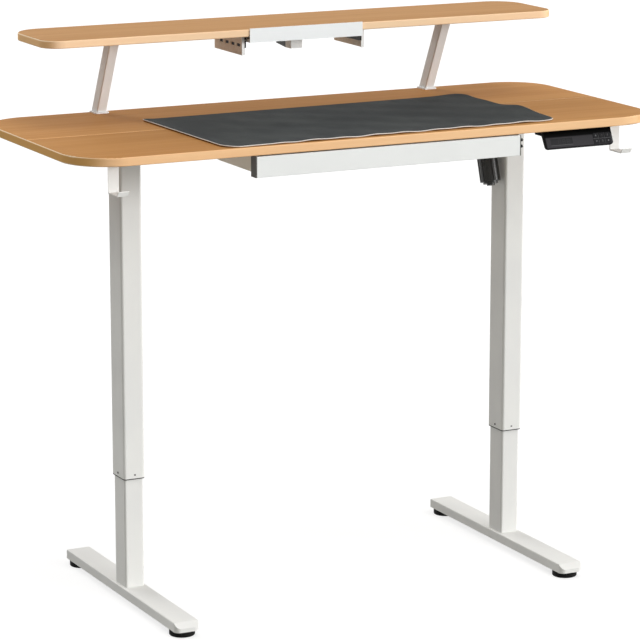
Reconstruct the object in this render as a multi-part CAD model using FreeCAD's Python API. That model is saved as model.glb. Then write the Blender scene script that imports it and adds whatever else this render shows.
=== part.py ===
import FreeCAD, Part
import math
import os

# A height-adjustable desk with a raised shelf, at the height it stands at in use.
# Millimetres, +Z up, +X to the right of the person sitting at it, who faces +Y.
# The origin is on the floor under the middle of the desktop.

Vector = FreeCAD.Vector
UP = Vector(0, 0, 1)
ALONG = Vector(1, 0, 0)
BACK = Vector(0, 1, 0)

# Desktop: two boards joined lengthwise along the middle
TOP_LENGTH = 1400.0
TOP_DEPTH = 600.0
TOP_THICK = 19.0
TOP_HEIGHT = 1046.0
TOP_CORNER = 105.0
BOARD_EDGE = 2.5
JOINT_PLATE_LENGTH = 80.0
JOINT_PLATE_WIDTH = 50.0
JOINT_PLATE_THICK = 2.0
JOINT_PLATE_PITCH = 300.0
JOINT_PLATE_COUNT = 3

# Soft mat lying on the desktop
MAT_LENGTH = 815.0
MAT_DEPTH = 426.0
MAT_THICK = 2.5
MAT_CORNER = 36.0
MAT_OFFSET_X = 32.5
MAT_FRONT_GAP = 15.0
MAT_TURN = 1.2

# Lifting columns
LEG_INSET = 224.0
OUTER_X = 50.0
OUTER_Y = 68.0
OUTER_CORNER = 6.0
INNER_X = 45.0
INNER_Y = 59.0
INNER_CORNER = 5.0
TUBE_WALL = 1.5
TRAVEL_DOWN = 240.0
TRAVEL_UP = 190.0
STOP_GAP = 7.0
GUIDE_OVERLAP = 168.0
GLIDE_HEIGHT = 45.0
GLIDE_RIM = 2.0
GLIDE_GAP = 0.2

# Feet and levelling pads
FOOT_LENGTH = 628.0
FOOT_WIDTH = 57.0
FOOT_HEIGHT = 21.0
FOOT_WALL = 2.0
FOOT_CHAMFER = 12.0
FOOT_END_ROUND = 13.0
FOOT_EDGE = 2.5
PAD_RADIUS = 28.0
PAD_HEIGHT = 14.0
PAD_EDGE = 3.0
PAD_INSET = 33.0
STUD_RADIUS = 4.0
STUD_GAP = 0.06
STUD_LENGTH = 17.0
WELD_NUT_RADIUS = 8.0
WELD_NUT_HEIGHT = 6.0
BASE_PLATE_THICK = 5.0
FOOT_BOLT_X = 13.0
FOOT_BOLT_Y = 19.0

# Lead screws, gears and drive rod
SCREW_RADIUS = 7.0
JOURNAL_RADIUS = 5.0
RUNNING_GAP = 0.06
THRUST_GAP = 0.3
NUT_HEIGHT = 30.0
SCREW_RESERVE = 20.0
ROD_DROP = 45.0
ROD_FLATS = 7.0
GEAR_TEETH = 16
GEAR_RADIUS = 12.0
GEAR_FACE = 5.0
GEAR_ADDENDUM = 1.0
GEAR_DEDENDUM = 1.5
GEAR_TOOTH_SHARE = 0.38
GEAR_FLANK_TAN = 0.36
GEAR_HUB = 3.5
GEAR_ROOM = 1.5
CASTING_FLOOR = 15.0
CASTING_ROOF = 7.0

# Motor with its worm drive, beside the right-hand column
MOTOR_RADIUS = 22.0
MOTOR_LENGTH = 88.0
MOTOR_TILT = 18.0
MOTOR_WALL = 2.5
MOTOR_STEP = 5.0
MOTOR_BOSS_RADIUS = 9.0
MOTOR_BOSS_LENGTH = 4.0
MOTOR_COLUMN_GAP = 7.0
MOTOR_RIBS = 10
MOTOR_RIB_WIDTH = 4.5
MOTOR_RIB_HEIGHT = 1.4
MOTOR_CAN_GAP = 0.5
WORM_RADIUS = 4.6
WORM_LENGTH = 26.0
WORM_SHAFT_RADIUS = 3.0
WORM_SHAFT_LENGTH = 70.0
WORM_WHEEL_TEETH = 24
WORM_WHEEL_RADIUS = 15.0
WORM_WHEEL_TOOTH = 2.2
WORM_WHEEL_FACE = 9.0
WORM_GAP = 0.4
GEAR_CASE_WALL = 4.0
GEAR_CASE_COLLAR = 28.0

# Under-top frame
BRACKET_SETBACK = 80.0
BRACKET_WIDTH = 60.0
BRACKET_THICK = 4.0
BRACKET_END_ROUND = 14.0
BRACKET_SCREW_NEAR = 110.0
BRACKET_SCREW_END = 25.0
RAIL_HEIGHT = 30.0
RAIL_DEPTH = 20.0
RAIL_WALL = 1.5
RAIL_COLUMN_GAP = 6.0
CONTROL_LENGTH = 130.0
CONTROL_DEPTH = 72.0
CONTROL_HEIGHT = 32.0
CONTROL_TAB = 16.0
CONTROL_EDGE = 3.0
CONTROL_X = 150.0
CONTROL_RAIL_GAP = 12.0
INLET_WIDTH = 22.0
PORT_WIDTH = 12.0
INLET_HEIGHT = 10.0
INLET_DEPTH = 12.0
INLET_PITCH = 34.0

# Fasteners
WOOD_SCREW_RADIUS = 1.75
WOOD_SCREW_GRIP = 12.0
WOOD_SCREW_HEAD_RADIUS = 3.6
WOOD_SCREW_HEAD = 2.2
BOLT_RADIUS = 3.0
BOLT_HEAD_RADIUS = 5.5
BOLT_HEAD = 3.5
HOLE_GAP = 0.3
GLIDE_SCREW_RADIUS = 1.5
GLIDE_SCREW_HEAD_RADIUS = 2.4
GLIDE_SCREW_HEAD = 1.2
GLIDE_SCREW_RISE = 8.0

# Handset under the front edge
HANDSET_INSET = 128.0
HANDSET_LENGTH = 172.0
HANDSET_HEIGHT = 39.0
HANDSET_DEPTH = 52.0
HANDSET_THICK = 11.3
HANDSET_TILT = 25.0
HANDSET_TAIL = 13.0
HANDSET_CORNER = 7.0
HANDSET_TAB_LENGTH = 26.0
HANDSET_TAB_THICK = 3.0
HANDSET_TAB_DEPTH = 34.0
WINDOW_LENGTH = 56.0
WINDOW_HEIGHT = 16.0
WINDOW_LOW = 6.5
WINDOW_THICK = 1.0
WINDOW_LEFT = 14.0
KEY_LENGTH = 13.0
KEY_HEIGHT = 11.0
KEY_THICK = 3.0
KEY_PROUD = 0.9
KEY_GAP = 0.3
KEY_SPACE = 2.2
KEY_TRAVEL = 0.7
KEY_RIGHT = 5.0
KEY_LOW = 3.6

# Hooks under both ends of the desktop
HOOK_INSET = 94.0
HOOK_SETBACK = 51.0
HOOK_WIDTH = 24.0
HOOK_DROP = 63.0
HOOK_REACH = 46.0
HOOK_LIP = 14.0
HOOK_FLARE = 40.0
HOOK_FLANGE = 32.0
HOOK_THICK = 2.0
HOOK_BEND = 1.5

# Drawer under the front edge
DRAWER_HANDSET_GAP = 39.0
DRAWER_WIDTH = 639.5
DRAWER_FRONT_HEIGHT = 45.0
DRAWER_FRONT_DEPTH = 25.0
DRAWER_FRONT_WALL = 2.0
DRAWER_FRONT_EDGE = 1.2
DRAWER_CAP = 2.5
DRAWER_TOP_GAP = 2.5
RUNNER_INSET = 1.5
RUNNER_THICK = 2.0
RUNNER_HEIGHT = 37.0
RUNNER_RAIL_GAP = 14.0
RUNNER_FLANGE = 16.0
RUNNER_LIP = 10.0
RUNNER_GLIDE = 2.0
RUNNER_GAP = 0.2
TRAY_SHEET = 1.2
TRAY_SIDE_GAP = 1.0
TRAY_FLOOR_RISE = 4.5
TRAY_WALL_HEIGHT = 31.0
TRAY_FLANGE = 8.0
TRAY_RAIL_GAP = 21.0

# Raised shelf and its posts
SHELF_SETBACK = 68.0
SHELF_SHIFT = 12.0
SHELF_DEPTH = 225.0
SHELF_THICK = 17.0
SHELF_RISE = 194.0
SHELF_OVERHANG = 3.0
SHELF_FRONT_CORNER = 42.0
SHELF_REAR_CORNER = 70.0
POST_INSET = 284.0
POST_WIDTH = 23.0
POST_DEPTH = 33.0
POST_WALL = 1.6
POST_EDGE = 2.5
POST_SETBACK = 32.0
POST_LEAN = 26.2
POST_PLATE_WIDTH = 34.0
POST_PLATE_THICK = 3.0
POST_PLATE_LEAD = 6.0
POST_PLATE_DEPTH = 38.0
POST_HEAD_LEAD = 14.0
POST_PLATE_CORNER = 4.0

# Shallow tray under the shelf
PANEL_WIDTH = 279.0
PANEL_THICK = 2.0
PANEL_OVER = 1.5
PANEL_UNDER = 13.0
PANEL_GAP = 0.5
PANEL_TRAY_DEPTH = 152.0
PANEL_TRAY_WALL = 8.0
SLIDE_THICK = 9.0
SLIDE_HEIGHT = 24.0
SLIDE_RISE = 7.0
SLIDE_LENGTH = 140.0
SLIDE_SLOT = 2.4
SLIDE_SLOT_DEPTH = 5.0
SLIDE_TRAY_GAP = 1.6
HANGER_THICK = 2.0
HANGER_DROP = 42.0
HANGER_LENGTH = 145.0
HANGER_SETBACK = 14.0
HANGER_FLANGE = 12.0
HANGER_NOSE = 7.0
HANGER_SLOT_LENGTH = 18.0
HANGER_SLOT_HEIGHT = 7.0
HANGER_SLOT_PITCH = 30.0
HANGER_SLOT_START = 10.0
HANGER_SLOT_COUNT = 4
PULL_WIDTH = 30.0
PULL_DEPTH = 76.0
PULL_HEIGHT = 26.0
PULL_NOSE = 26.0
PULL_RISE = 5.0
PULL_SETBACK = 50.0
PULL_WALL = 3.0
PULL_EDGE = 2.0

# Heights and places that follow from the sizes above
top_under = TOP_HEIGHT - TOP_THICK
top_front = -TOP_DEPTH / 2
top_rear = TOP_DEPTH / 2
leg_x = TOP_LENGTH / 2 - LEG_INSET
bracket_under = top_under - BRACKET_THICK
bracket_length = TOP_DEPTH - 2 * BRACKET_SETBACK
foot_top = PAD_HEIGHT + FOOT_HEIGHT
outer_bottom = foot_top + TRAVEL_DOWN + STOP_GAP + GLIDE_RIM
inner_top = outer_bottom + TRAVEL_UP + GUIDE_OVERLAP
rod_z = top_under - ROD_DROP
rod_corner = ROD_FLATS / math.sqrt(3)
gear_back = GEAR_RADIUS + GEAR_DEDENDUM / math.sqrt(2) + GEAR_HUB
cavity_floor = rod_z - gear_back - THRUST_GAP
casting_bottom = cavity_floor - CASTING_FLOOR
nut_bottom = inner_top - NUT_HEIGHT
screw_bottom = nut_bottom - TRAVEL_UP - SCREW_RESERVE
rail_y = OUTER_Y / 2 + RAIL_COLUMN_GAP + RAIL_DEPTH / 2
rail_face = rail_y + RAIL_DEPTH / 2
shelf_length = TOP_LENGTH - 2 * SHELF_SETBACK
shelf_top = TOP_HEIGHT + SHELF_RISE
shelf_under = shelf_top - SHELF_THICK
shelf_rear = top_rear + SHELF_OVERHANG
shelf_front = shelf_rear - SHELF_DEPTH
post_x = TOP_LENGTH / 2 - POST_INSET
post_front = top_rear - POST_SETBACK
SIDES = {"left": -1, "right": 1}
ENDS = {"front": -1, "rear": 1}
TOUCH = 0.01


# Shape helpers

def box(x0, x1, y0, y1, z0, z1):
    """Upright block between two corners."""
    return Part.makeBox(x1 - x0, y1 - y0, z1 - z0, Vector(x0, y0, z0))


def disc(radius, length, start, direction):
    """Round bar that starts at a point and runs along a direction."""
    return Part.makeCylinder(radius, length, start, direction)


def runs_along(edge, direction):
    """True for a straight edge that runs along a direction."""
    run = edge.Vertexes[-1].Point - edge.Vertexes[0].Point
    return run.Length > TOUCH and run.cross(direction).Length < TOUCH * run.Length


def soften(solid, radius, direction, z0=-math.inf, z1=math.inf):
    """The solid with its edges along a direction rounded, where their middles lie between two heights."""
    edges = [edge for edge in solid.Edges
             if runs_along(edge, direction) and z0 < edge.CenterOfMass.z < z1]
    return solid.makeFillet(radius, edges)


def rounded_bar(x, y, width, depth, z0, z1, radius):
    """Upright bar of rectangular section with rounded long edges, centred on x, y."""
    bar = box(x - width / 2, x + width / 2, y - depth / 2, y + depth / 2, z0, z1)
    return bar.makeFillet(radius, [edge for edge in bar.Edges if runs_along(edge, UP)])


def board(length, y0, y1, z0, z1, front_radius, rear_radius):
    """Flat board centred on X whose corners are rounded in plan, its rims and its upper joint edge eased."""
    blank = box(-length / 2, length / 2, y0, y1, z0, z1)
    for y, radius in ((y0, front_radius), (y1, rear_radius)):
        if radius > 0:
            corners = [e for e in blank.Edges if runs_along(e, UP) and abs(e.CenterOfMass.y - y) < TOUCH]
            blank = blank.makeFillet(radius, corners)
    square = [y for y, radius in ((y0, front_radius), (y1, rear_radius)) if radius == 0]
    rims = []
    for edge in blank.Edges:
        level = all(abs(v.Z - edge.Vertexes[0].Z) < TOUCH for v in edge.Vertexes)
        on_joint = any(abs(v.Y - y) < TOUCH for y in square for v in edge.Vertexes[:1])
        on_joint = on_joint and any(abs(edge.CenterOfMass.y - y) < TOUCH for y in square)
        if level and not (on_joint and edge.CenterOfMass.z < z1 - TOUCH):
            rims.append(edge)
    return blank.makeFillet(BOARD_EDGE, rims)


def prism_along_x(profile, x0, x1):
    """Solid of a closed Y-Z profile, from x0 to x1."""
    points = [Vector(x0, y, z) for y, z in profile]
    face = Part.Face(Part.makePolygon(points + points[:1]))
    return face.extrude(Vector(x1 - x0, 0, 0))


def screw(start, direction, length, radius, head_radius, head):
    """Fastener whose head sits against the start point and whose shank runs along the direction."""
    shank = disc(radius, length, start, direction)
    cap = disc(head_radius, head, start - direction * head, direction)
    return shank.fuse(cap).removeSplitter()


def cut_all(solid, tools):
    """The solid with every tool cut out of it."""
    return solid.cut(Part.Compound(tools)) if tools else solid


def column_x(side):
    return SIDES[side] * leg_x


# Wood screws all go straight up into a board: each place is x, y, seat height and seat thickness
wood_places = []
wood_screws = []


def fix_from_below(places, seat_z, thickness):
    """Put a wood screw at each x, y under a plate, and give back the plate's clearance holes."""
    holes = []
    for x, y in places:
        start = Vector(x, y, seat_z)
        wood_places.append((x, y, seat_z + thickness))
        wood_screws.append(screw(start, UP, thickness + WOOD_SCREW_GRIP, WOOD_SCREW_RADIUS,
                                 WOOD_SCREW_HEAD_RADIUS, WOOD_SCREW_HEAD))
        holes.append(disc(WOOD_SCREW_RADIUS + HOLE_GAP, thickness, start, UP))
    return holes


def pilot_holes(seat_z):
    """Holes that the wood screws make in the board whose underside is at a height."""
    return [disc(WOOD_SCREW_RADIUS, WOOD_SCREW_GRIP, Vector(x, y, z), UP)
            for x, y, z in wood_places if abs(z - seat_z) < TOUCH]


# Feet, levelling pads and lower tubes

def foot_blank(grow):
    """Foot beam with chamfered top ends and soft edges, grown or shrunk all round."""
    half = FOOT_LENGTH / 2 + grow
    low = PAD_HEIGHT - grow
    high = foot_top + grow
    beam = box(-FOOT_WIDTH / 2 - grow, FOOT_WIDTH / 2 + grow, -half, half, low, high)
    beam = soften(beam, FOOT_EDGE + grow, BACK, high - TOUCH)
    beam = beam.common(rounded_bar(0, 0, FOOT_WIDTH + 2 * grow, 2 * half, low, high, FOOT_END_ROUND + grow))
    wedges = []
    for end in ENDS.values():
        ramp = [(end * (half - FOOT_CHAMFER), high), (end * half, high), (end * half, high - FOOT_CHAMFER)]
        wedges.append(prism_along_x(ramp, -FOOT_WIDTH, FOOT_WIDTH))
    return cut_all(beam, wedges)


def pad_y(end):
    return ENDS[end] * (FOOT_LENGTH / 2 - PAD_INSET)


def foot_bolt_places(x):
    return [(x + sx * FOOT_BOLT_X, sy * FOOT_BOLT_Y) for sx in (-1, 1) for sy in (-1, 1)]


def foot_beam(side):
    """Hollow steel foot with a weld nut over each levelling pad."""
    beam = foot_blank(0).cut(foot_blank(-FOOT_WALL))
    beam.translate(Vector(column_x(side), 0, 0))
    holes = []
    for end in ENDS:
        seat = Vector(column_x(side), pad_y(end), PAD_HEIGHT)
        nut_seat = seat + UP * FOOT_WALL
        beam = beam.fuse(disc(WELD_NUT_RADIUS, WELD_NUT_HEIGHT, nut_seat, UP))
        holes.append(disc(STUD_RADIUS + STUD_GAP, FOOT_WALL + WELD_NUT_HEIGHT, seat, UP))
    for x, y in foot_bolt_places(column_x(side)):
        holes.append(disc(BOLT_RADIUS + HOLE_GAP, FOOT_HEIGHT, Vector(x, y, PAD_HEIGHT), UP))
    return cut_all(beam, holes)


def foot_bolts(side):
    """Four bolts from under the foot into the base plate of the lower tube."""
    return [screw(Vector(x, y, PAD_HEIGHT), UP, FOOT_HEIGHT + BASE_PLATE_THICK,
                  BOLT_RADIUS, BOLT_HEAD_RADIUS, BOLT_HEAD)
            for x, y in foot_bolt_places(column_x(side))]


def levelling_pad(side, end):
    """Round glide pad on a threaded stud."""
    x = column_x(side)
    pad = disc(PAD_RADIUS, PAD_HEIGHT, Vector(x, pad_y(end), 0), UP)
    rim = [edge for edge in pad.Edges if edge.Length > PAD_HEIGHT + TOUCH and edge.CenterOfMass.z < TOUCH]
    pad = pad.makeFillet(PAD_EDGE, rim)
    stud = disc(STUD_RADIUS, STUD_LENGTH, Vector(x, pad_y(end), PAD_HEIGHT), UP)
    return pad.fuse(stud)


def inner_bar(side, shrink, z0, z1):
    """Solid bar of the lower tube's outline, offset inwards."""
    return rounded_bar(column_x(side), 0, INNER_X - 2 * shrink, INNER_Y - 2 * shrink,
                       z0, z1, INNER_CORNER - shrink)


def outer_bar(side, shrink, z0, z1):
    """Solid bar of the upper tube's outline, offset inwards."""
    return rounded_bar(column_x(side), 0, OUTER_X - 2 * shrink, OUTER_Y - 2 * shrink,
                       z0, z1, OUTER_CORNER - shrink)


def inner_tube(side):
    """Lower tube with the base plate that the foot bolts hold."""
    tube = inner_bar(side, 0, foot_top, inner_top)
    tube = tube.cut(inner_bar(side, TUBE_WALL, foot_top + BASE_PLATE_THICK, inner_top))
    holes = [disc(BOLT_RADIUS, BASE_PLATE_THICK, Vector(x, y, foot_top), UP)
             for x, y in foot_bolt_places(column_x(side))]
    return cut_all(tube, holes)


def lift_nut(side):
    """Nut that fills the top of the lower tube and runs on the lead screw."""
    nut = inner_bar(side, TUBE_WALL, nut_bottom, inner_top)
    return nut.cut(disc(SCREW_RADIUS + RUNNING_GAP, NUT_HEIGHT, Vector(column_x(side), 0, nut_bottom), UP))


def upper_glide(side):
    """Plastic sleeve round the top of the lower tube, sliding inside the upper one."""
    low = inner_top - GLIDE_HEIGHT
    sleeve = outer_bar(side, TUBE_WALL + GLIDE_GAP, low, inner_top)
    return sleeve.cut(inner_bar(side, 0, low, inner_top))


# Upper tubes and what guides them

def lower_glide(side):
    """Plastic sleeve in the mouth of the upper tube, with a rim under the tube's edge."""
    high = outer_bottom + GLIDE_HEIGHT
    sleeve = outer_bar(side, 0, outer_bottom - GLIDE_RIM, outer_bottom)
    sleeve = sleeve.fuse(outer_bar(side, TUBE_WALL, outer_bottom, high))
    sleeve = sleeve.cut(inner_bar(side, -GLIDE_GAP, outer_bottom - GLIDE_RIM, high))
    return cut_all(sleeve, [disc(GLIDE_SCREW_RADIUS, OUTER_Y, point, direction)
                            for point, direction, _ in glide_screw_places(side)])


def glide_screw_places(side):
    """Seat, inward direction and shank length of the four screws round a tube's mouth."""
    z = outer_bottom + GLIDE_SCREW_RISE
    x = column_x(side)
    deep_x = (OUTER_X - INNER_X) / 2 - 2 * GLIDE_GAP
    deep_y = (OUTER_Y - INNER_Y) / 2 - 2 * GLIDE_GAP
    return [(Vector(x - OUTER_X / 2, 0, z), ALONG, deep_x),
            (Vector(x + OUTER_X / 2, 0, z), ALONG * -1, deep_x),
            (Vector(x, -OUTER_Y / 2, z), BACK, deep_y),
            (Vector(x, OUTER_Y / 2, z), BACK * -1, deep_y)]


def glide_screws(side):
    return [screw(point, direction, length, GLIDE_SCREW_RADIUS, GLIDE_SCREW_HEAD_RADIUS, GLIDE_SCREW_HEAD)
            for point, direction, length in glide_screw_places(side)]


def outer_tube(side):
    """Upper tube, welded under the side bracket, with a hole where the drive rod comes in."""
    tube = outer_bar(side, 0, outer_bottom, bracket_under)
    tube = tube.cut(outer_bar(side, TUBE_WALL, outer_bottom, bracket_under))
    holes = [disc(GLIDE_SCREW_RADIUS, TUBE_WALL, point, direction)
             for point, direction, _ in glide_screw_places(side)]
    holes.append(disc(rod_corner + RUNNING_GAP, OUTER_X / 2,
                      Vector(column_x(side), 0, rod_z), ALONG * -SIDES[side]))
    return cut_all(tube, holes)


# Drive: bevel gears in the column heads, a rod between them, worm and motor

def bevel_gear():
    """Mitre gear with its cone's tip at the origin, facing +Z, its back at -gear_back."""
    slant = math.sqrt(0.5)
    keep = 1 - GEAR_FACE / (GEAR_RADIUS / slant)
    root_r = GEAR_RADIUS - GEAR_DEDENDUM * slant
    root_z = GEAR_RADIUS + GEAR_DEDENDUM * slant
    tip_r = GEAR_RADIUS + GEAR_ADDENDUM * slant
    tip_z = GEAR_RADIUS - GEAR_ADDENDUM * slant
    blank = Part.makeCone(root_r, root_r * keep, root_z * (1 - keep), Vector(0, 0, -root_z), UP)
    blank = blank.fuse(disc(root_r, GEAR_HUB, Vector(0, 0, -gear_back), UP))
    pitch = 2 * math.pi * GEAR_RADIUS / GEAR_TEETH
    half_tip = pitch * GEAR_TOOTH_SHARE / 2 - GEAR_ADDENDUM * GEAR_FLANK_TAN
    half_root = pitch * GEAR_TOOTH_SHARE / 2 + GEAR_DEDENDUM * GEAR_FLANK_TAN
    sink = GEAR_DEDENDUM * slant / 2
    outline = [(root_r - sink, -half_root, -root_z - sink + 2 * sink * (1 - slant)),
               (tip_r, -half_tip, -tip_z),
               (tip_r, half_tip, -tip_z),
               (root_r - sink, half_root, -root_z - sink + 2 * sink * (1 - slant))]
    rings = []
    for scale in (1.0, keep):
        points = [Vector(*point) * scale for point in outline]
        rings.append(Part.makePolygon(points + points[:1]))
    tooth = Part.makeLoft(rings, True, True)
    teeth = []
    for index in range(GEAR_TEETH):
        copy = tooth.copy()
        copy.rotate(Vector(0, 0, 0), UP, index * 360 / GEAR_TEETH)
        teeth.append(copy)
    return blank.multiFuse(teeth).removeSplitter()


def screw_gear(side):
    """Bevel gear on the top end of a lead screw."""
    gear = bevel_gear()
    gear = gear.cut(disc(JOURNAL_RADIUS, gear_back, Vector(0, 0, -gear_back), UP))
    gear.translate(Vector(column_x(side), 0, rod_z))
    return gear


def hex_rod(x0, x1):
    """Hexagonal bar along X at the height of the drive rod."""
    points = []
    for index in range(7):
        turn = math.radians(60 * index)
        points.append(Vector(x0, rod_corner * math.sin(turn), rod_z + rod_corner * math.cos(turn)))
    return Part.Face(Part.makePolygon(points)).extrude(Vector(x1 - x0, 0, 0))


def rod_gear(side):
    """Bevel gear on one end of the drive rod, half a tooth out of step with the screw's gear."""
    gear = bevel_gear()
    gear.rotate(Vector(0, 0, 0), UP, 180 / GEAR_TEETH)
    gear.rotate(Vector(0, 0, 0), BACK, 90 * SIDES[side])
    gear.translate(Vector(column_x(side), 0, rod_z))
    return gear.cut(hex_rod(-leg_x, leg_x))


def rod_end(side):
    """Where the drive rod stops short of a lead screw's axis."""
    return column_x(side) - SIDES[side] * (GEAR_RADIUS - GEAR_FACE / 2)


def lead_screw(side):
    """Lead screw that hangs from its gear, its thread drawn as a plain bar."""
    x = column_x(side)
    thread_top = casting_bottom - THRUST_GAP
    bar = disc(SCREW_RADIUS, thread_top - screw_bottom, Vector(x, 0, screw_bottom), UP)
    journal_top = rod_z - GEAR_RADIUS + GEAR_FACE / 2
    return bar.fuse(disc(JOURNAL_RADIUS, journal_top - thread_top, Vector(x, 0, thread_top), UP))


def gear_casting(side):
    """Casting in the head of a column that carries the screw's end and the rod's end."""
    x = column_x(side)
    inward = -SIDES[side]
    reach = GEAR_RADIUS + GEAR_ADDENDUM + GEAR_ROOM
    casting = outer_bar(side, TUBE_WALL, casting_bottom, rod_z + reach + CASTING_ROOF)
    ends = sorted((x - inward * reach, x + inward * (gear_back + THRUST_GAP)))
    cavity = box(ends[0], ends[1], -reach, reach, cavity_floor, rod_z + reach)
    screw_way = disc(JOURNAL_RADIUS + RUNNING_GAP, CASTING_FLOOR, Vector(x, 0, casting_bottom), UP)
    rod_way = disc(rod_corner + RUNNING_GAP, OUTER_X / 2, Vector(x, 0, rod_z), ALONG * inward)
    return cut_all(casting, [cavity, screw_way, rod_way])


# The motor's axis leans forward going down, and passes behind the drive rod
motor_x = leg_x - OUTER_X / 2 - MOTOR_COLUMN_GAP - MOTOR_RADIUS
worm_offset = WORM_WHEEL_RADIUS + WORM_GAP + WORM_RADIUS
tilt_sin = math.sin(math.radians(MOTOR_TILT))
tilt_cos = math.cos(math.radians(MOTOR_TILT))
motor_way = Vector(0, -tilt_sin, -tilt_cos)
worm_centre = Vector(motor_x, worm_offset * tilt_cos, rod_z - worm_offset * tilt_sin)
motor_start = worm_centre + motor_way * GEAR_CASE_COLLAR


def worm_wheel():
    """Toothed wheel on the drive rod, turned by the worm."""
    start = Vector(motor_x - WORM_WHEEL_FACE / 2, 0, rod_z)
    root = WORM_WHEEL_RADIUS - WORM_WHEEL_TOOTH
    wheel = disc(root, WORM_WHEEL_FACE, start, ALONG)
    half = math.pi * root / WORM_WHEEL_TEETH / 2
    teeth = []
    for index in range(WORM_WHEEL_TEETH):
        tooth = box(start.x, start.x + WORM_WHEEL_FACE, -half, half,
                    rod_z + root / 2, rod_z + WORM_WHEEL_RADIUS)
        tooth.rotate(Vector(0, 0, rod_z), ALONG, index * 360 / WORM_WHEEL_TEETH)
        teeth.append(tooth)
    outer = disc(WORM_WHEEL_RADIUS, WORM_WHEEL_FACE, start, ALONG)
    wheel = wheel.multiFuse(teeth).common(outer).removeSplitter()
    return wheel.cut(hex_rod(-leg_x, leg_x))


def motor_worm():
    """Worm and motor shaft in one, the worm's thread drawn as a plain bar."""
    worm = disc(WORM_RADIUS, WORM_LENGTH, worm_centre - motor_way * (WORM_LENGTH / 2), motor_way)
    shaft_start = worm_centre - motor_way * (WORM_LENGTH / 2 + GEAR_CASE_WALL)
    return worm.fuse(disc(WORM_SHAFT_RADIUS, WORM_SHAFT_LENGTH, shaft_start, motor_way)).removeSplitter()


def motor_gear_case():
    """Case round worm and wheel, with a neck that seats on the column and a collar for the motor."""
    wheel_room = WORM_WHEEL_RADIUS + GEAR_ROOM
    low = rod_z - wheel_room - GEAR_CASE_WALL
    high = rod_z + wheel_room + GEAR_CASE_WALL
    front = -wheel_room - GEAR_CASE_WALL
    half_worm = WORM_LENGTH / 2 + THRUST_GAP
    rear = worm_centre.y + half_worm * tilt_sin + WORM_RADIUS + GEAR_ROOM + GEAR_CASE_WALL
    case = box(motor_x - MOTOR_RADIUS, motor_x + MOTOR_RADIUS, front, rear, low, high)
    neck_end = leg_x - OUTER_X / 2
    neck = box(motor_x, neck_end, front, wheel_room, low, high)
    collar = disc(MOTOR_RADIUS, GEAR_CASE_COLLAR, worm_centre, motor_way)
    case = case.fuse(neck).fuse(collar)
    half_face = WORM_WHEEL_FACE / 2 + THRUST_GAP
    wheel_way = disc(wheel_room, 2 * half_face, Vector(motor_x - half_face, 0, rod_z), ALONG)
    worm_start = worm_centre - motor_way * half_worm
    worm_way = disc(WORM_RADIUS + GEAR_ROOM, 2 * half_worm, worm_start, motor_way)
    rod_way = disc(rod_corner + RUNNING_GAP, 2 * OUTER_X + 2 * MOTOR_RADIUS,
                   Vector(motor_x - OUTER_X, 0, rod_z), ALONG)
    shaft_start = worm_centre - motor_way * (half_worm + GEAR_CASE_WALL)
    shaft_way = disc(WORM_SHAFT_RADIUS + RUNNING_GAP, WORM_SHAFT_LENGTH, shaft_start, motor_way)
    return cut_all(case, [wheel_way, worm_way, rod_way, shaft_way])


def motor_can():
    """Electric motor inside the plastic cover."""
    radius = MOTOR_RADIUS - MOTOR_WALL - MOTOR_CAN_GAP
    can = disc(radius, MOTOR_LENGTH - 2 * MOTOR_STEP, motor_start, motor_way)
    return can.cut(disc(WORM_SHAFT_RADIUS + RUNNING_GAP, WORM_SHAFT_LENGTH, motor_start, motor_way))


def motor_cover():
    """Plastic cover of the motor: a ribbed cup with a stepped end."""
    cup = disc(MOTOR_RADIUS, MOTOR_LENGTH - MOTOR_STEP, motor_start, motor_way)
    step_end = motor_start + motor_way * MOTOR_LENGTH
    cup = cup.fuse(disc(MOTOR_RADIUS - MOTOR_STEP, MOTOR_LENGTH, motor_start, motor_way))
    cup = cup.fuse(disc(MOTOR_BOSS_RADIUS, MOTOR_BOSS_LENGTH, step_end, motor_way))
    ribs = []
    for index in range(MOTOR_RIBS):
        rib = box(-MOTOR_RIB_WIDTH / 2, MOTOR_RIB_WIDTH / 2, MOTOR_RADIUS - MOTOR_WALL,
                  MOTOR_RADIUS + MOTOR_RIB_HEIGHT, 0, MOTOR_LENGTH - MOTOR_STEP)
        rib.rotate(Vector(0, 0, 0), UP, index * 360 / MOTOR_RIBS)
        rib.Placement = FreeCAD.Placement(motor_start, FreeCAD.Rotation(UP, motor_way)) * rib.Placement
        ribs.append(rib)
    cup = cup.multiFuse(ribs).removeSplitter()
    return cup.cut(disc(MOTOR_RADIUS - MOTOR_WALL, MOTOR_LENGTH - 2 * MOTOR_STEP, motor_start, motor_way))


# Frame under the desktop

def rail_bolt_places():
    return [(column_x(side), ENDS[end] * rail_y) for side in SIDES for end in ENDS]


def side_bracket(side):
    """Flat steel bracket across a column's head, screwed to both boards."""
    x = column_x(side)
    plate = rounded_bar(x, 0, BRACKET_WIDTH, bracket_length, bracket_under, top_under, BRACKET_END_ROUND)
    far = bracket_length / 2 - BRACKET_SCREW_END
    places = [(x, sign * y) for sign in (-1, 1) for y in (BRACKET_SCREW_NEAR, far)]
    holes = fix_from_below(places, bracket_under, BRACKET_THICK)
    for bolt_x, bolt_y in rail_bolt_places():
        holes.append(disc(BOLT_RADIUS, BRACKET_THICK, Vector(bolt_x, bolt_y, bracket_under), UP))
    return cut_all(plate, holes)


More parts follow.
